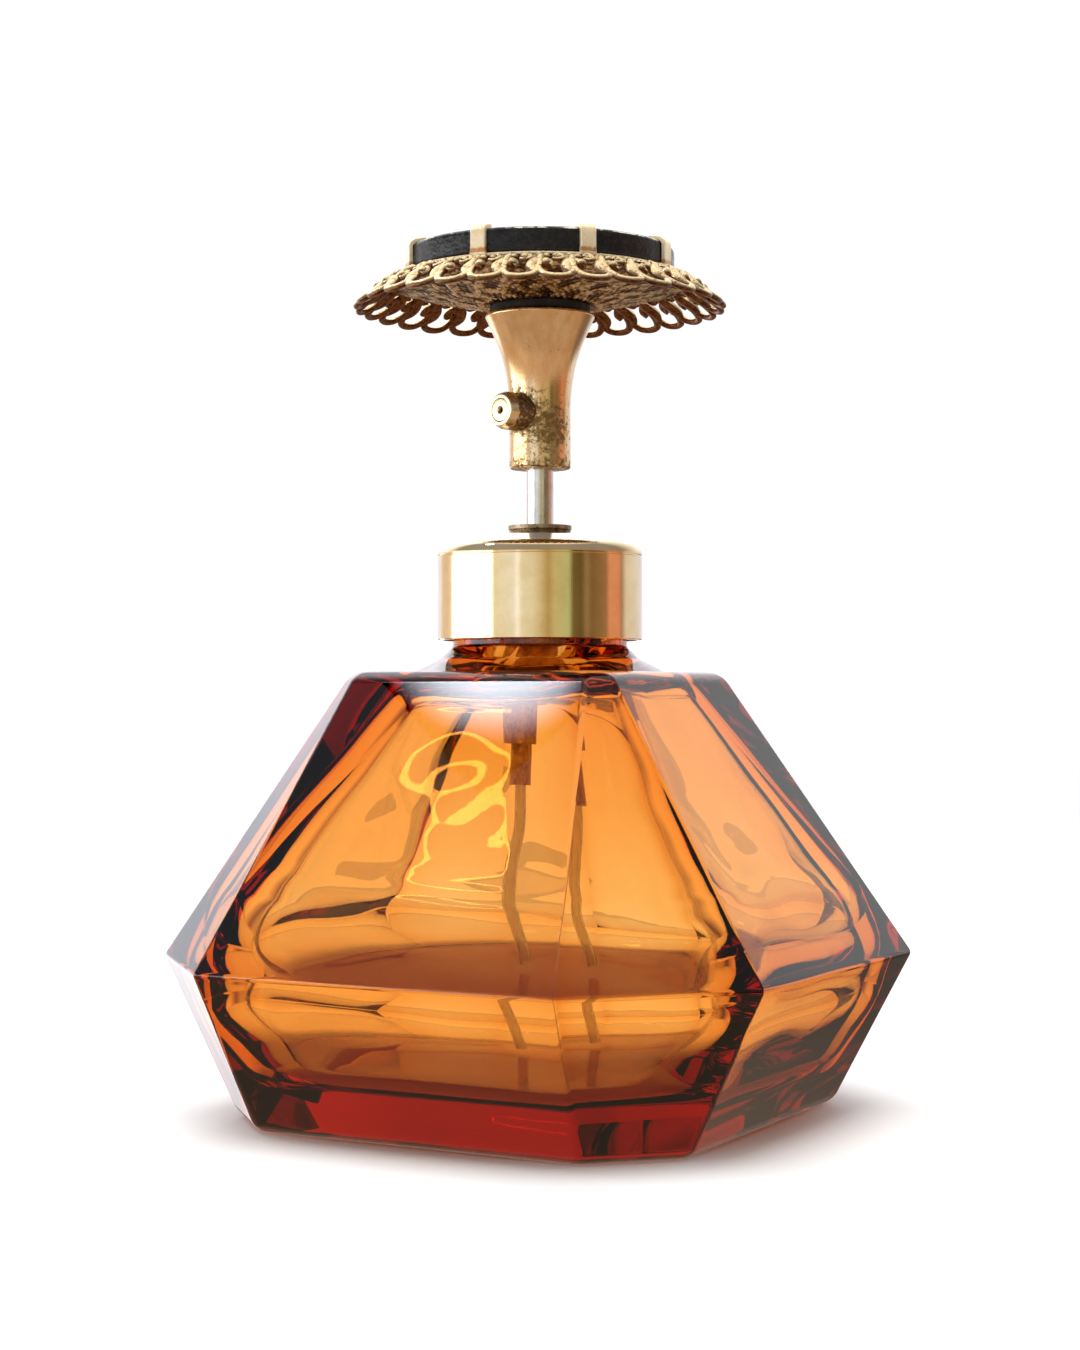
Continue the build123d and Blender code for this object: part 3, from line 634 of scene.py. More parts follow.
def nozzle_brass():
    """Bright worn face with painted shade in and round the spray hole, and a dark mottled side."""
    finish = Finish("nozzle_brass")
    side = finish.fade(finish.along(NOZZLE_AIM), (NOZZLE_END - 0.5) * MM, (NOZZLE_END - 1.3) * MM)
    grain = finish.noise(0.5, 8.0, 0.75)
    dirt = finish.ramp(finish.math("MULTIPLY_ADD", side, 0.22, grain), (0.58, 0.0), (0.7, 1.0))
    colour = finish.mix(dirt, (0.95, 0.76, 0.46), (0.22, 0.14, 0.07))
    # Painted shade in the spray hole and its countersink.
    spray_hole_shade = finish.near(at(NOZZLE_END, NOZZLE_AZIMUTH, NOZZLE_HEIGHT), 0.18, 0.42)
    finish.shade(Base_Color=finish.mix(spray_hole_shade, colour, (0.10, 0.02, 0.01)), Metallic=1.0)
    finish.shade(Roughness=finish.mix(dirt, (0.22, 0.22, 0.22), (0.55, 0.55, 0.55)))
    finish.bump(finish.noise(0.2, 4.0, 0.7), 0.015)
    return finish.material


def aged_brass():
    """Filigree metal: bright gold on faces turned up, red-brown painted shade in recesses and on faces
    turned down, and the dish's underside beige with dark streaks as painted highlights and shade.
    """
    finish = Finish("aged_brass")
    split = finish.add("ShaderNodeSeparateXYZ")
    finish.put(split.inputs[0], finish.add("ShaderNodeNewGeometry").outputs["Normal"])
    # Faces turned up take the bright gold and faces turned down the under colours: painted light and shade
    # by facing.
    upward = finish.ramp(split.outputs["Z"], (0.0, 0.0), (0.45, 1.0))
    mottle = finish.noise(0.45, 8.0, 0.75)
    spots = finish.ramp(mottle, (0.38, 0.0), (0.62, 1.0))
    # Painted shade on the scallops' undersides.
    skirt_painted_shade = finish.mix(spots, (0.07, 0.022, 0.010), (0.30, 0.13, 0.05))
    # The dish's underside: beige with dark streaks, the painted highlights and shade of its relief.
    streaks = finish.ramp(finish.noise(0.9, 6.0, 0.7, twist=0.6), (0.45, 0.0), (0.53, 1.0))
    dish_under_painted_light = finish.mix(streaks, (0.20, 0.11, 0.05), (0.78, 0.61, 0.38))
    underside_painted_light = finish.mix(finish.attribute("dish"), skirt_painted_shade, dish_under_painted_light)
    stains = finish.ramp(mottle, (0.52, 0.0), (0.64, 1.0))
    over = finish.mix(stains, (1.0, 0.80, 0.46), (0.24, 0.11, 0.04))
    lit_and_shaded = finish.mix(upward, underside_painted_light, over)
    # Painted shade: the recess share, made uneven by the mottle, darkens recesses behind the scrolls and
    # in the relief to near black.
    uneven = finish.math("SUBTRACT", mottle, 0.5)
    dark = finish.math("MULTIPLY_ADD", uneven, 0.5, finish.attribute("painted_shade"))
    painted_shade_mask = finish.ramp(dark, (0.42, 0.0), (0.62, 1.0))
    finish.shade(Base_Color=finish.mix(painted_shade_mask, lit_and_shaded, (0.07, 0.03, 0.012)), Metallic=1.0)
    finish.shade(Roughness=finish.ramp(mottle, (0.3, 0.22), (0.7, 0.5)))
    finish.bump(finish.noise(0.35, 3.0, 0.6), 0.03)
    return finish.material


def gilt_brass():
    """Setting metal: bright gilt with orange solder low on the claws."""
    finish = Finish("gilt_brass")
    low = finish.height_between(PLATE_TOP + 1.0, PLATE_TOP + 0.4)
    above_plate = finish.height_between(PLATE_TOP, PLATE_TOP + 0.1)
    foot = finish.math("MULTIPLY", low, above_plate)
    mottle = finish.noise(1.5, 5.0, 0.6)
    solder = finish.ramp(finish.math("MULTIPLY", foot, mottle), (0.32, 0.0), (0.5, 1.0))
    shade = finish.ramp(mottle, (0.4, 0.0), (0.7, 1.0))
    gold = finish.mix(shade, (1.0, 0.84, 0.58), (0.95, 0.70, 0.40))
    finish.shade(Base_Color=finish.mix(solder, gold, (0.60, 0.28, 0.09)), Metallic=0.4)
    finish.shade(Roughness=finish.ramp(mottle, (0.3, 0.16), (0.7, 0.34)))
    finish.bump(finish.noise(0.8, 3.0, 0.5), 0.02)
    return finish.material


def black_stone():
    """Black lacquered stone with cream chips along its upper edge."""
    finish = Finish("black_stone")
    mottle = finish.noise(0.9, 6.0, 0.7)
    shade = finish.ramp(mottle, (0.45, 0.0), (0.7, 1.0))
    black = finish.mix(shade, (0.006, 0.006, 0.007), (0.022, 0.019, 0.017))
    above_side = finish.height_between(STONE_SIDE_TOP + 0.02, STONE_SIDE_TOP + 0.35)
    below_dome = finish.height_between(STONE_SIDE_TOP + 0.65, STONE_SIDE_TOP + 0.42)
    edge = finish.math("MULTIPLY", above_side, below_dome)
    chipped = finish.math("MULTIPLY", edge, finish.noise(4.0, 8.0, 0.7))
    chips = finish.ramp(chipped, (0.50, 0.0), (0.53, 1.0))
    finish.shade(Base_Color=finish.mix(chips, black, (0.72, 0.64, 0.46)), Specular_IOR_Level=0.35)
    finish.shade(Roughness=finish.ramp(mottle, (0.3, 0.10), (0.7, 0.30)))
    finish.bump(finish.noise(0.9, 5.0, 0.6), 0.12)
    return finish.material


def dull(name, colour, other, roughness, size):
    """A non-metal with soft colour variation."""
    finish = Finish(name)
    finish.shade(Base_Color=finish.mix(finish.noise(size, 5.0, 0.6), colour, other))
    finish.shade(Roughness=finish.ramp(finish.noise(size * 0.5), (0.3, roughness[0]), (0.7, roughness[1])))
    finish.bump(finish.noise(size * 0.25, 4.0, 0.6), 0.02)
    return finish.material


def clear_tube():
    """Dip tube plastic, yellowed and a little cloudy."""
    finish = Finish("clear_tube")
    finish.shade(Base_Color=finish.mix(finish.noise(3.0), (0.98, 0.94, 0.82), (0.92, 0.86, 0.70)))
    finish.shade(Roughness=finish.ramp(finish.noise(1.0), (0.3, 0.12), (0.7, 0.25)))
    finish.shade(IOR=1.45, Transmission_Weight=0.85)
    finish.bump(finish.noise(0.8), 0.02)
    return finish.material


# Metals as (bright colour, dull colour, roughness from and to, blotch size, scratch depth, patina).
METALS = {
    "polished_brass": ((0.94, 0.76, 0.48), (0.86, 0.66, 0.38), (0.02, 0.07), 3.0, 0.002),
    "pump_brass": ((0.66, 0.42, 0.20), (0.34, 0.19, 0.08), (0.3, 0.5), 1.4, 0.02, (0.12, 0.07, 0.03)),
    "dark_brass": ((0.50, 0.40, 0.27), (0.20, 0.14, 0.09), (0.3, 0.55), 0.9, 0.03, (0.07, 0.05, 0.04)),
    "steel": ((0.80, 0.78, 0.75), (0.62, 0.60, 0.57), (0.12, 0.25), 2.0, 0.01),
}

# Plastics and rubbers as (colour, other colour, roughness from and to, size of what varies).
DULLS = {
    "liner_plastic": ((0.80, 0.76, 0.66), (0.70, 0.65, 0.54), (0.35, 0.5), 1.2),
    "seal_rubber": ((0.03, 0.028, 0.026), (0.06, 0.055, 0.05), (0.55, 0.75), 1.2),
    # The washer's near-black colour also stands for the painted shadow in the gap under the ornament.
    "black_washer": ((0.004, 0.003, 0.003), (0.02, 0.012, 0.009), (0.6, 0.8), 0.8),
}

# Every material by its slot in the record, and the nozzle's own.
MATERIALS = {name: metal(name, *looks) for name, looks in METALS.items()}
MATERIALS |= {name: dull(name, *looks) for name, looks in DULLS.items()}
for make_material in (
    amber_glass,
    clear_tube,
    head_brass,
    nozzle_brass,
    aged_brass,
    gilt_brass,
    black_stone,
):
    MATERIALS[make_material.__name__] = make_material()

# ---- bottle


def outline_row(height, half_width, half_face, edge_round):
    """One closed row of the bottle's outside: eight rounded corners and the sides between them."""
    f, w = half_face, half_width
    corners = [(-f, -w), (f, -w), (w, -f), (w, f), (f, w), (-f, w), (-w, f), (-w, -f)]
    corners = [Vector(corner) for corner in corners]
    reach = edge_round * tan(radians(22.5))
    row = []
    for i, corner in enumerate(corners):
        ahead = (corner - corners[i - 1]).normalized()
        inward = Vector((-ahead.y, ahead.x))
        centre = corner - ahead * reach + inward * edge_round
        for k in range(ARC_STEPS + 1):
            turn = Matrix.Rotation(radians(45) * k / ARC_STEPS, 2)
            row.append(centre + turn @ (-inward * edge_round))
        following = corners[(i + 1) % 8]
        side = (following - corner).normalized()
        first = row[-1]
        last = following - side * reach
        for k in range(1, SIDE_STEPS):
            row.append(first.lerp(last, k / SIDE_STEPS))
    return [(x, y, height) for x, y in row]


def outside_rows():
    """Rows of the bottle's outside from the middle of its base to its shoulder."""
    levels = (BASE_LEVEL, GIRDLE_LEVEL, SHOULDER_LEVEL)
    rounds = (BASE_ROUND, GIRDLE_ROUND, SHOULDER_ROUND)
    wide, cut = [(MIDDLE, 0.0, 0)], [(MIDDLE, 0.0, 0)]
    for (height, half_width, half_face, _), radius in zip(levels, rounds):
        wide.append((half_width, height, radius))
        cut.append(((half_width + half_face) / sqrt(2), height, radius))
    for outline in (wide, cut):
        outline.append((NECK_OUTLINE[0][0] - 1, SHOULDER_LEVEL[0], 0))
    edge_rounds = [(height, edge_round) for height, _, _, edge_round in levels]
    rows = []
    for (w, z), (d, cut_z) in list(zip(rounded(wide, False, 7), rounded(cut, False, 7)))[1:-1]:
        height = (z + cut_z) / 2
        rows.append(outline_row(height, w, d * sqrt(2) - w, between(height, edge_rounds)))
    inner = [[(x * share, y * share, 0.0) for x, y, _ in rows[0]] for share in (0.02, 0.7)]
    return inner + rows


def thread_height(angle, height):
    """How far the screw thread stands out of the neck at a point."""
    stand = 0.0
    for turn in range(2):
        share = angle % (2 * pi) / (2 * pi) + turn
        if share > THREAD_TURNS:
            continue
        ends = min(1.0, share / THREAD_RUNOUT, (THREAD_TURNS - share) / THREAD_RUNOUT)
        aside = abs(height - THREAD_START - THREAD_PITCH * share)
        root, crest = THREAD_WIDTHS
        stand = max(stand, ends * clamped((root / 2 - aside) / ((root - crest) / 2)))
    return THREAD_DEPTH * stand


def neck_rows(angles):
    """Rows of the plateau, the neck, its thread and the outer half of the lip."""
    outline = rounded(NECK_OUTLINE + ((THREAD_ROOT, LIP_HEIGHT, 0),), False, 5)[:-1]
    first, last = outline[-1][1], LIP_HEIGHT - LIP_ROUND
    for k in range(1, NECK_STEPS + 1):
        outline.append((THREAD_ROOT, first + (last - first) * k / NECK_STEPS))
    for k in range(1, LIP_STEPS + 1):
        angle = pi / 2 * k / LIP_STEPS
        outline.append((THREAD_ROOT - LIP_ROUND * (1 - cos(angle)), last + LIP_ROUND * sin(angle)))
    rows = []
    for r, z in outline:
        if z > NECK_OUTLINE[-1][1]:
            rows.append([at(r + thread_height(angle, z), angle, z) for angle in angles])
        else:
            rows.append([at(r, angle, z) for angle in angles])
    return rows


def hollow_radius(angle, half_width, corner):
    """Distance from the axis to a square with round corners, in the direction of an angle."""
    corner = min(corner, half_width)
    x, y = sorted((abs(cos(angle)), abs(sin(angle))), reverse=True)
    flat = half_width / x
    if flat * y <= half_width - corner:
        return flat
    k = half_width - corner
    along = k * (x + y)
    return along + sqrt(max(0.0, along**2 - 2 * k**2 + corner**2))


def wall_wave(x, y, z):
    """How far the hollow's wall stands out of true at a point."""
    wave = noise.noise(Vector((x, y, z * WAVE_SQUEEZE)) / WAVE_SIZE)
    streak = noise.noise(Vector((x / STREAK_LENGTH, y / STREAK_LENGTH, z / STREAK_WIDTH)))
    band = exp(-((z - STREAK_LEVEL) / STREAK_SPREAD) ** 2)
    return wave * WAVE_DEPTH + streak * STREAK_DEPTH * band


def hollow_rows():
    """Rows of the hollow from the inner edge of the lip down to the middle of its floor."""
    outline = []
    corners = rounded(HOLLOW_OUTLINE, False, 7)[1:]
    for (w, z), (next_w, next_z) in zip(corners, corners[1:]):
        steps = max(1, int(hypot(next_w - w, next_z - z) / HOLLOW_STEP))
        for k in range(steps):
            outline.append((w + (next_w - w) * k / steps, z + (next_z - z) * k / steps))
    outline.append(corners[-1])
    rows = []
    for w, z in outline:
        corner = between(z, HOLLOW_CORNERS)
        share = clamped((w - WAVE_START) / WAVE_FADE)
        row = []
        for k in range(COLUMNS):
            angle = 2 * pi * (k - SIDE_STEPS / 2) / COLUMNS - 3 * pi / 4
            r = hollow_radius(angle, w, corner)
            row.append(at(r + share * wall_wave(*at(r, angle, z)), angle, z))
        rows.append(row)
    return rows


def make_bottle():
    """One closed skin: up the outside, over the lip and down the hollow."""
    rows = outside_rows()
    angles = [atan2(y, x) for x, y, _ in rows[-1]]
    points, numbers = numbered(rows + neck_rows(angles) + hollow_rows())
    faces = skin(numbers, closed=False) + [numbers[0][::-1], numbers[-1]]
    make_piece("bottle_glass", "bottle", points, faces, "glass", "amber_glass", sharp=60)


# ---- collar


def make_collar():
    """Thin spun shell with a rolled line under its dome."""
    shape = (COLLAR_BOTTOM, COLLAR_SIDE_TOP)
    outer = domed_outline(COLLAR_RADIUS, *shape, COLLAR_SHOULDER_ROUND, COLLAR_SLOPE, 10, 16)
    inner_round = COLLAR_SHOULDER_ROUND - COLLAR_WALL
    inner = domed_outline(COLLAR_RADIUS - COLLAR_WALL, *shape, inner_round, COLLAR_SLOPE)
    outline = [
        (COLLAR_RADIUS - COLLAR_BEVEL, COLLAR_BOTTOM),
        (COLLAR_RADIUS, COLLAR_BOTTOM + COLLAR_BEVEL),
    ]
    outline += [(COLLAR_RADIUS - depth, COLLAR_SIDE_TOP - below) for depth, below in COLLAR_LINE]
    outline += [(r, z) for r, z in outer[2:] if r > COLLAR_HOLE]
    inner = [(r, z) for r, z in inner if r > COLLAR_HOLE]
    outline += [(COLLAR_HOLE, outline[-1][1] + COLLAR_HOLE_RISE), (COLLAR_HOLE, inner[-1][1])]
    points, faces = lathe(outline + inner[::-1])
    make_piece("collar_shell", "collar", points, faces, "cap", "polished_brass", sharp=25)


# ---- filigree


def dish_height(r):
    """Height of the dish's underside."""
    share = max(0.0, (r - DISH_FLAT_RADIUS) / (DISH_CROWN_RADIUS - DISH_FLAT_RADIUS))
    return DISH_FLAT_HEIGHT + (DISH_CROWN_HEIGHT - DISH_FLAT_HEIGHT) * share


def leaf_relief(r, angle):
    """Embossed leaves and stalks on the dish, from 0 in the recesses to 1."""
    sway = LEAF_SWAY * sin(r * 0.9)
    left = abs(sin(SCALLOPS / 4 * angle + LEAF_TWIST * r + sway))
    right = abs(sin(SCALLOPS / 4 * angle - LEAF_TWIST * r + sway))
    veins = abs(sin(SCALLOPS * angle + VEIN_TWIST * r)) * abs(sin(SCALLOPS * angle - VEIN_TWIST * r))
    grain = noise.noise(Vector(at(r, angle, 0)) * 0.9)
    return clamped(0.55 * max(left, right) ** 3 + 0.45 * veins + 0.35 * grain)


def make_dish():
    """Points, faces and painted-shade shares of the dish: plain above, embossed beneath, with painted
    shade in the relief's hollows and behind the scrolls.
    """
    columns = SCALLOPS * SCALLOP_COLUMNS
    angles = [2 * pi * k / columns for k in range(columns)]
    rows, painted_shade = [], []
    for k in range(DISH_RINGS + 1):
        r = DISH_BORE + (DISH_RIM - DISH_BORE) * (k / DISH_RINGS)
        depth = clamped((r - RELIEF_START) / RELIEF_FADE)
        row = []
        for angle in angles:
            relief = leaf_relief(r, angle)
            row.append(at(r, angle, dish_height(r) - RELIEF_DEPTH * depth * relief))
            # Hollows of the relief get a share of painted shade.
            painted_shade.append((1 - relief) * depth)
        rows.append(row)
    for r, sheet, share in DISH_TOP:
        rows.append([at(r, angle, dish_height(r) + sheet) for angle in angles])
        painted_shade += [share] * columns
    points, numbers = numbered(rows)
    return points, skin(numbers), painted_shade


def on_skirt(turn, u, v, lift=0.0):
    """A point of the hanging skirt: u along the rim, v down the slope, lift out of its surface."""
    slope = radians(SKIRT_SLOPE)
    r = SKIRT_TOP[0] + v * cos(slope) + lift * sin(slope)
    z = SKIRT_TOP[1] - v * sin(slope) + lift * cos(slope)
    return Vector(at(r, turn + u / SKIRT_MIDDLE, z))


def swelling(start, middle, end):
    """A wire's radius along its length, from its start through its middle to its end."""

    def radius(share):
        tip = start if share < 0.5 else end
        return tip + (middle - tip) * sin(pi * share)

    return radius


def make_scallops():
    """Points and faces of the hanging scallops, each a little different."""
    slope = radians(SKIRT_SLOPE)
    parts = []
    for i in range(SCALLOPS):
        turn = 2 * pi * i / SCALLOPS
        upward = Vector(at(sin(slope), turn, cos(slope)))
        shake = [noise.noise(Vector((i * 3.1, k * 7.7, 0.5))) * SCALLOP_SHAKE for k in range(6)]
        for k, (knots, radii) in enumerate(SCALLOP_WIRES):
            across, down = shake[k], shake[k - 1] * 0.5
            path = curve_through([on_skirt(turn, u + across, v + down, lift) for u, v, lift in knots])
            parts.append(wire(path, swelling(*radii), 10, 0.8, upward))
        for k, ((u, v, lift), radius) in enumerate(SCALLOP_BEADS):
            parts.append(bead(on_skirt(turn, u + shake[k], v, lift), radius))
    return joined(parts)


def make_filigree():
    """Dish and scallops as one piece, whose points also hold their share of painted shade and say what is
    dish.
    """
    dish_points, dish_faces, painted_shade = make_dish()
    points, faces = joined([(dish_points, dish_faces), make_scallops()])
    piece = make_piece("filigree_lace", "filigree", points, faces, "head", "aged_brass")
    on_dish = [1.0] * len(painted_shade) + [0.0] * (len(points) - len(painted_shade))
    # Scallops get an even light share of painted shade.
    painted_shade += [0.25] * (len(points) - len(painted_shade))
    for name, values in (("painted_shade", painted_shade), ("dish", on_dish)):
        piece.data.attributes.new(name, "FLOAT", "POINT").data.foreach_set("value", values)


# ---- nozzle and washer


def turned_to_nozzle(points):
    """Points made about the Z axis, laid along the nozzle's axis."""
    aim = NOZZLE_AIM.to_track_quat("Z", "Y")
    return [aim @ Vector(point) + Vector((0, 0, NOZZLE_HEIGHT)) for point in points]


def make_nozzle():
    """Barrel and spray insert, turned along the nozzle's axis."""
    for name, node, outline, segments in (
        ("nozzle_barrel", "nozzle_body", NOZZLE_BARREL, 96),
        ("spray_insert", "nozzle_insert", SPRAY_INSERT, 64),
    ):
        points, faces = lathe(rounded(outline), segments)
        points = turned_to_nozzle(points)
        make_piece(name, node, points, faces, "head", "head_brass", finish="nozzle_brass")


def make_washer():
    """Black washer, its edge worn uneven; its near-black also stands for the painted shadow in the gap
    under the ornament.
    """
    bottom, top = (corner.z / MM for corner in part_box("seat_washer"))
    points, faces = lathe(rounded([
        (WASHER_BORE, bottom, 0),
        (WASHER_RADIUS, bottom, WASHER_ROUND),
        (WASHER_RADIUS, top, WASHER_ROUND),
        (WASHER_BORE, top, 0),
    ]), 160)
    worn = []
    for x, y, z in points:
        wear = WASHER_WEAR * noise.noise(Vector((x, y, z * 1.5)) * 0.9)
        share = 1 + wear if hypot(x, y) > WASHER_RADIUS / 2 else 1
        worn.append((x * share, y * share, z))
    make_piece("worn_washer", "seat_washer", worn, faces, "head", "black_washer")


# ---- springs


def make_spring(name, node, body, spring):
    """A round-wire spring that rides on a body."""
    bottom, top, coil_radius, wire_radius, turns = spring
    steps = SPRING_STEPS * turns
    low, high = bottom + wire_radius, top - wire_radius
    path = []
    for k in range(steps + 1):
        path.append(Vector(at(coil_radius, 2 * pi * turns * k / steps, low + (high - low) * k / steps)))
    points, faces = wire(path, lambda share: wire_radius, 8)
    piece = make_piece(name, node, points, faces, body, "steel")
    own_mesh(piece)


# ---- setting and stone


def claw_line():
    """A claw's inner face as (radius, height), from the plate up the stone and over its edge."""
    inner = STONE_RADIUS + CLAW_GAP
    bend = STONE_SHOULDER_ROUND + CLAW_GAP
    line = [(inner, height) for height in CLAW_LEVELS]
    for k in range(1, CLAW_BEND_STEPS + 1):
        angle = radians(90 - STONE_SLOPE) * k / CLAW_BEND_STEPS
        line.append((inner - bend * (1 - cos(angle)), STONE_SIDE_TOP + bend * sin(angle)))
    r, z = line[-1]
    rise = tan(radians(STONE_SLOPE)) * CLAW_TIP_RISE
    for k in range(1, CLAW_TIP_STEPS + 1):
        reach = CLAW_TIP * k / CLAW_TIP_STEPS
        line.append((r - reach, z + reach * rise))
    return line


def claw(turn):
    """Points and faces of one bent claw, wider at its foot and narrower at its tip."""
    line = claw_line()
    last = len(line) - 1
    shares = {0: CLAW_FOOT_SHARE, last: CLAW_TIP_SHARE}
    points, rows = [], []
    for k, (r, z) in enumerate(line):
        before, after = line[max(k - 1, 0)], line[min(k + 1, last)]
        along = Vector((after[0] - before[0], after[1] - before[1])).normalized()
        side = CLAW_WIDTH / 2 * shares.get(k, 1.0)
        profile = (
            (-side, 0),
            (-side, CLAW_SHEET - CLAW_SOFT),
            (-side + CLAW_SOFT, CLAW_SHEET),
            (side - CLAW_SOFT, CLAW_SHEET),
            (side, CLAW_SHEET - CLAW_SOFT),
            (side, 0),
        )
        rows.append([len(points) + j for j in range(len(profile))])
        for across, out in profile:
            x, y, height = at(r + along.y * out, turn, z - along.x * out)
            points.append((x - across * sin(turn), y + across * cos(turn), height))
    return points, skin(rows, closed=False) + [rows[0][::-1], rows[-1]]


def make_setting():
    """Plate and claws as one piece."""
    plate = lathe(rounded([
        (PLATE_BORE, PLATE_BOTTOM, 0),
        (PLATE_RADIUS, PLATE_BOTTOM, PLATE_ROUND),
        (PLATE_RADIUS, PLATE_TOP, PLATE_ROUND),
        (PLATE_BORE, PLATE_TOP, 0),
    ]))
    claws = [claw(radians(CLAW_START) + 2 * pi * i / CLAWS) for i in range(CLAWS)]
    points, faces = joined([plate] + claws)
    make_piece("claw_setting", "setting", points, faces, "head", "gilt_brass", sharp=35)


def make_stone():
    """Low drum-shaped stone, its surface slightly uneven."""
    foot = STONE_BOTTOM + STONE_BEVEL
    outline = [(0, STONE_BOTTOM), (STONE_RADIUS - STONE_BEVEL, STONE_BOTTOM)]
    outline += domed_outline(STONE_RADIUS, foot, STONE_SIDE_TOP, STONE_SHOULDER_ROUND, STONE_SLOPE, 8, 24)
    points, faces = lathe(outline, 256)
    uneven = []
    for x, y, z in points:
        dent = STONE_DENT * (noise.noise(Vector((x, y, z)) * 0.8) - 0.6)
        r = hypot(x, y)
        share = 1 + dent / r if r > 1 else 1
        uneven.append((x * share, y * share, z))
    make_piece("black_cabochon", "cabochon", uneven, faces, "head", "black_stone")


# ---- CAD nodes that stay


def dress_cad_nodes():
    """Gives every CAD node the material of its slot."""
    for part in frame["record"]["subparts"]:
        node = frame["nodes"].get(part["node"])
        if node:
            node.data.materials.clear()
            node.data.materials.append(MATERIALS[part["material_slot"]])


# ---- floor, light and camera

# Floor, and its own light, each as (distance with all of it, distance with none): a weak glow
# everywhere but under the object, and a full one far off.
FLOOR_TOP = -0.02
FLOOR_BOTTOM = -0.5
FLOOR_RADIUS = 4000
FLOOR_BESIDE = (46.0, 25.0)
FLOOR_BESIDE_SHARE = 0.55
FLOOR_FAR = (700.0, 120.0)

# Lights.
TOP_LIGHT_PLACE = Vector((0, -100, 1200))
TOP_LIGHT_SIZE = 900
TOP_LIGHT_POWER = 16.0
GLOW_TARGET = Vector((-4, -15.5, 46))
GLOW_DISTANCE = 600.0

# The studio round the object, as (angle from the camera to its right, colour): what its upright
# surfaces reflect, what its sloping ones reflect from above and below the horizon, and what is
# seen past and through it.
WINDOW_WALL = (3.4, 3.4, 3.4)
REFLECTED = (
    (-180, (1.0, 1.0, 1.1)),
    (-150, (1.0, 1.0, 1.1)),
    (-138, (0.82, 0.68, 0.57)),
    (-126, (0.82, 0.68, 0.57)),
    (-118, (1.0, 0.9, 0.85)),
    (-112, WINDOW_WALL),
    (-57, WINDOW_WALL),
    (-53, (0.9, 0.86, 0.75)),
    (-30, (0.9, 0.95, 1.0)),
    (-25, (1.15, 1.2, 1.4)),
    (-20, (0.85, 0.86, 0.80)),
    (-8, (0.80, 0.80, 0.70)),
    (0, (0.68, 0.60, 0.42)),
    (9, (0.48, 0.36, 0.17)),
    (16, (0.60, 0.53, 0.30)),
    (32, (0.50, 0.55, 0.30)),
    (37, (0.18, 0.13, 0.05)),
    (47, (0.15, 0.10, 0.04)),
    (53, (0.31, 0.21, 0.11)),
    (60, (0.22, 0.13, 0.06)),
    (79, (0.34, 0.19, 0.10)),
    (84, (0.74, 0.33, 0.20)),
    (98, (0.72, 0.31, 0.19)),
    (104, (0.42, 0.26, 0.20)),
    (112, (0.76, 0.71, 0.66)),
    (150, (0.80, 0.80, 0.90)),
    (180, (1.0, 1.0, 1.1)),
)
OBLIQUE = (
    (-180, (1.5, 1.5, 1.6)),
    (-140, (2.2, 2.2, 2.3)),
    (-108, (0.35, 0.35, 0.38)),
    (108, (0.30, 0.27, 0.25)),
    (140, (0.9, 0.9, 0.9)),
    (180, (1.5, 1.5, 1.6)),
)
LOW = (
    (-180, (0.30, 0.25, 0.22)),
    (-167, (0.30, 0.25, 0.22)),
    (-160, (2.2, 2.2, 2.3)),
    (-142, (2.2, 2.2, 2.3)),
    (-130, (0.60, 0.44, 0.32)),
    (-60, (0.70, 0.52, 0.38)),
    (20, (0.55, 0.37, 0.24)),
    (105, (0.50, 0.33, 0.22)),
    (120, (0.20, 0.14, 0.10)),
    (180, (0.30, 0.25, 0.22)),
)
TRANSMITTED = (
    (-180, (1.5, 1.5, 1.5)),
    (-132, (1.5, 1.5, 1.5)),
    (-114, (0.45, 0.30, 0.33)),
    (-104, (0.9, 0.85, 0.85)),
    (-76, (0.9, 0.85, 0.85)),
    (-66, (0.40, 0.26, 0.30)),
    (-46, (0.40, 0.26, 0.30)),
    (-36, (1.1, 1.05, 1.0)),
    (36, (1.1, 1.05, 1.0)),
    (46, (0.25, 0.14, 0.14)),
    (66, (0.25, 0.14, 0.14)),
    (76, (0.8, 0.75, 0.7)),
    (104, (0.8, 0.75, 0.7)),
    (114, (0.25, 0.14, 0.14)),
    (132, (1.5, 1.5, 1.5)),
    (180, (1.5, 1.5, 1.5)),
)
CEILING = (1.15, 1.05, 0.95)
UNDERSIDE = (0.50, 0.36, 0.25)
BACKDROP = (1.05, 1.05, 1.05)
STUDIO_PEAK = 3.4

# How steeply a ray rises where each of these starts to be seen, and where it is seen alone.
OBLIQUE_RISE = (0.1, 0.22)
CEILING_RISE = (0.82, 0.92)
LOW_RISE = (-0.05, -0.15)
UNDERSIDE_RISE = (-0.36, -0.46)


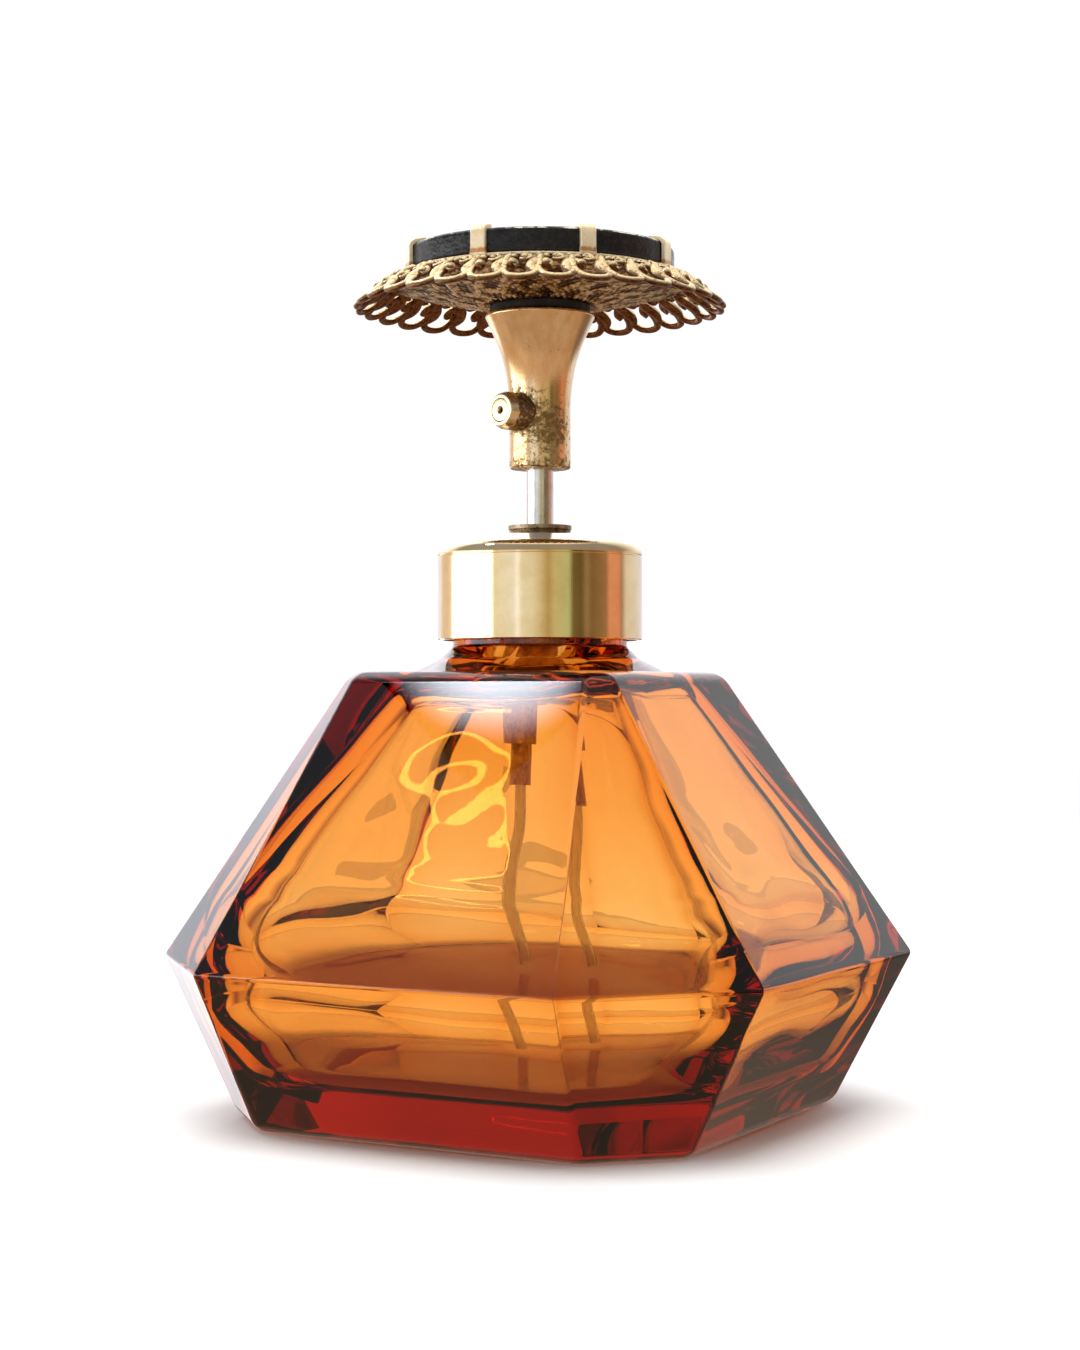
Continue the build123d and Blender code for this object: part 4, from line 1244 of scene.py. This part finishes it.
def make_floor():
    """Pale floor with a glow of its own, so that it stays white behind and through the glass."""
    finish = Finish("floor")
    finish.shade(Base_Color=(0.92, 0.92, 0.92), Roughness=0.9)
    glow = finish.add("ShaderNodeEmission", Strength=1.0)
    beside = finish.math("MULTIPLY", finish.near((0, 0, 0), *FLOOR_BESIDE), FLOOR_BESIDE_SHARE)
    blend = finish.add("ShaderNodeMixShader")
    finish.put(blend.inputs[0], finish.math("MAXIMUM", finish.near((0, 0, 0), *FLOOR_FAR), beside))
    finish.put(blend.inputs[1], finish.shader.outputs[0])
    finish.put(blend.inputs[2], glow.outputs[0])
    finish.put(finish.output.inputs["Surface"], blend.outputs[0])
    outline = [(r, FLOOR_TOP) for r in (0, 0.1, FLOOR_RADIUS)]
    outline += [(r, FLOOR_BOTTOM) for r in (FLOOR_RADIUS, 0)]
    points, faces = lathe(outline, 64)
    floor = add_object("floor", make_mesh("floor", points, faces, finish.material))
    floor.visible_glossy = False


def dimmed(colour):
    """A studio colour as a share of the brightest, because a ramp's colours stop at 1."""
    return tuple(part / STUDIO_PEAK for part in colour)


def make_world():
    """The studio as a shader: tables of colours by direction, seen by different kinds of ray."""
    world = bpy.data.worlds.new("studio")
    world.use_nodes = True
    bpy.context.scene.world = world
    studio = Nodes(world.node_tree, "Generated")
    angle = studio.math("ARCTAN2", studio.along(RIGHTWARD), studio.along(TOWARD_CAMERA))
    turn = studio.math("ADD", studio.math("DIVIDE", angle, 2 * pi), 0.5)
    rise = studio.along((0, 0, 1))

    def panorama(table):
        return studio.ramp(turn, *[((degrees + 180) / 360, dimmed(colour)) for degrees, colour in table])

    reflected = panorama(REFLECTED)
    for (start, end), colour in (
        (OBLIQUE_RISE, panorama(OBLIQUE)),
        (CEILING_RISE, dimmed(CEILING)),
        (LOW_RISE, panorama(LOW)),
        (UNDERSIDE_RISE, dimmed(UNDERSIDE)),
    ):
        reflected = studio.mix(studio.fade(rise, start, end), reflected, colour)
    ray = studio.add("ShaderNodeLightPath")
    seen = studio.mix(ray.outputs["Is Transmission Ray"], reflected, panorama(TRANSMITTED))
    seen = studio.mix(ray.outputs["Is Camera Ray"], seen, dimmed(BACKDROP))
    background = world.node_tree.nodes["Background"]
    studio.put(background.inputs["Color"], seen)
    studio.put(background.inputs["Strength"], STUDIO_PEAK)


def make_top_light():
    """A soft square light overhead."""
    light = bpy.data.lights.new("top", "AREA")
    light.shape = "SQUARE"
    light.size = TOP_LIGHT_SIZE * MM
    light.energy = TOP_LIGHT_POWER
    lamp = add_object("top", light)
    lamp.location = TOP_LIGHT_PLACE * MM
    lamp.rotation_mode = "QUATERNION"
    lamp.rotation_quaternion = (-TOP_LIGHT_PLACE).to_track_quat("-Z", "Y")
    lamp.visible_camera = False
    lamp.visible_glossy = False
    lamp.visible_transmission = False


def make_glow(name, direction, radius, ring, colour, strength):
    """A glowing disc or ring off in one direction from the front face's top, its edges soft."""
    finish = Finish(name)
    centre = GLOW_TARGET + Vector(direction).normalized() * GLOW_DISTANCE
    inner, outer = (share * radius for share in ring)
    shape = finish.near(centre, outer, radius)
    if inner > 0:
        shape = finish.math("SUBTRACT", shape, finish.near(centre, inner * 0.9, inner))
    glow = finish.add("ShaderNodeEmission", Color=(*colour, 1))
    finish.put(glow.inputs["Strength"], finish.math("MULTIPLY", shape, strength))
    finish.put(finish.output.inputs["Surface"], glow.outputs[0])
    aim = (GLOW_TARGET - centre).to_track_quat("Z", "Y")
    corners = [(-radius, -radius, 0), (radius, -radius, 0), (radius, radius, 0), (-radius, radius, 0)]
    points = [aim @ Vector(corner) + centre for corner in corners]
    panel = add_object(name, make_mesh(name, points, [[0, 1, 2, 3]], finish.material))
    panel.visible_camera = False
    return panel


def make_glows():
    """The window's reflection on the front face, and the bright line inside the glass."""
    window = make_glow("window", (-0.482, -0.320, 0.813), 45.0, (0.0, 0.45), (0.82, 0.9, 1.0), 22.0)
    window.visible_transmission = False
    ring = make_glow("lamp_ring", (-0.483, -0.345, 0.806), 40.0, (0.80, 0.93), (1.0, 0.95, 0.8), 50.0)
    ring.visible_glossy = False


def make_camera():
    """The photograph's view: almost level, from beside the bottle's shoulder."""
    lens = bpy.data.cameras.new("camera")
    lens.lens = CAMERA_LENS
    lens.sensor_width = 36.0
    lens.sensor_fit = "AUTO"
    lens.clip_start = 0.01
    lens.clip_end = 20.0
    camera = add_object("camera", lens)
    camera.location = (TOWARD_CAMERA * CAMERA_DISTANCE + Vector((0, 0, CAMERA_HEIGHT))) * MM
    pitch = radians(CAMERA_PITCH)
    ahead = -TOWARD_CAMERA * cos(pitch) + Vector((0, 0, sin(pitch)))
    camera.rotation_mode = "QUATERNION"
    camera.rotation_quaternion = ahead.to_track_quat("-Z", "Y")
    bpy.context.scene.camera = camera


# ---- the whole scene

make_bottle()
make_collar()
make_filigree()
make_nozzle()
make_washer()
make_spring("return_coil", "return_spring", "plunger", RETURN_SPRING)
make_spring("outlet_coil", "outlet_spring", "head", OUTLET_SPRING)
make_setting()
make_stone()
dress_cad_nodes()
make_floor()
make_world()
make_glows()
make_top_light()
make_camera()

scene = bpy.context.scene
scene.view_settings.view_transform = "Standard"
scene.cycles.max_bounces = 24
scene.cycles.transmission_bounces = 24
scene.cycles.caustics_reflective = False
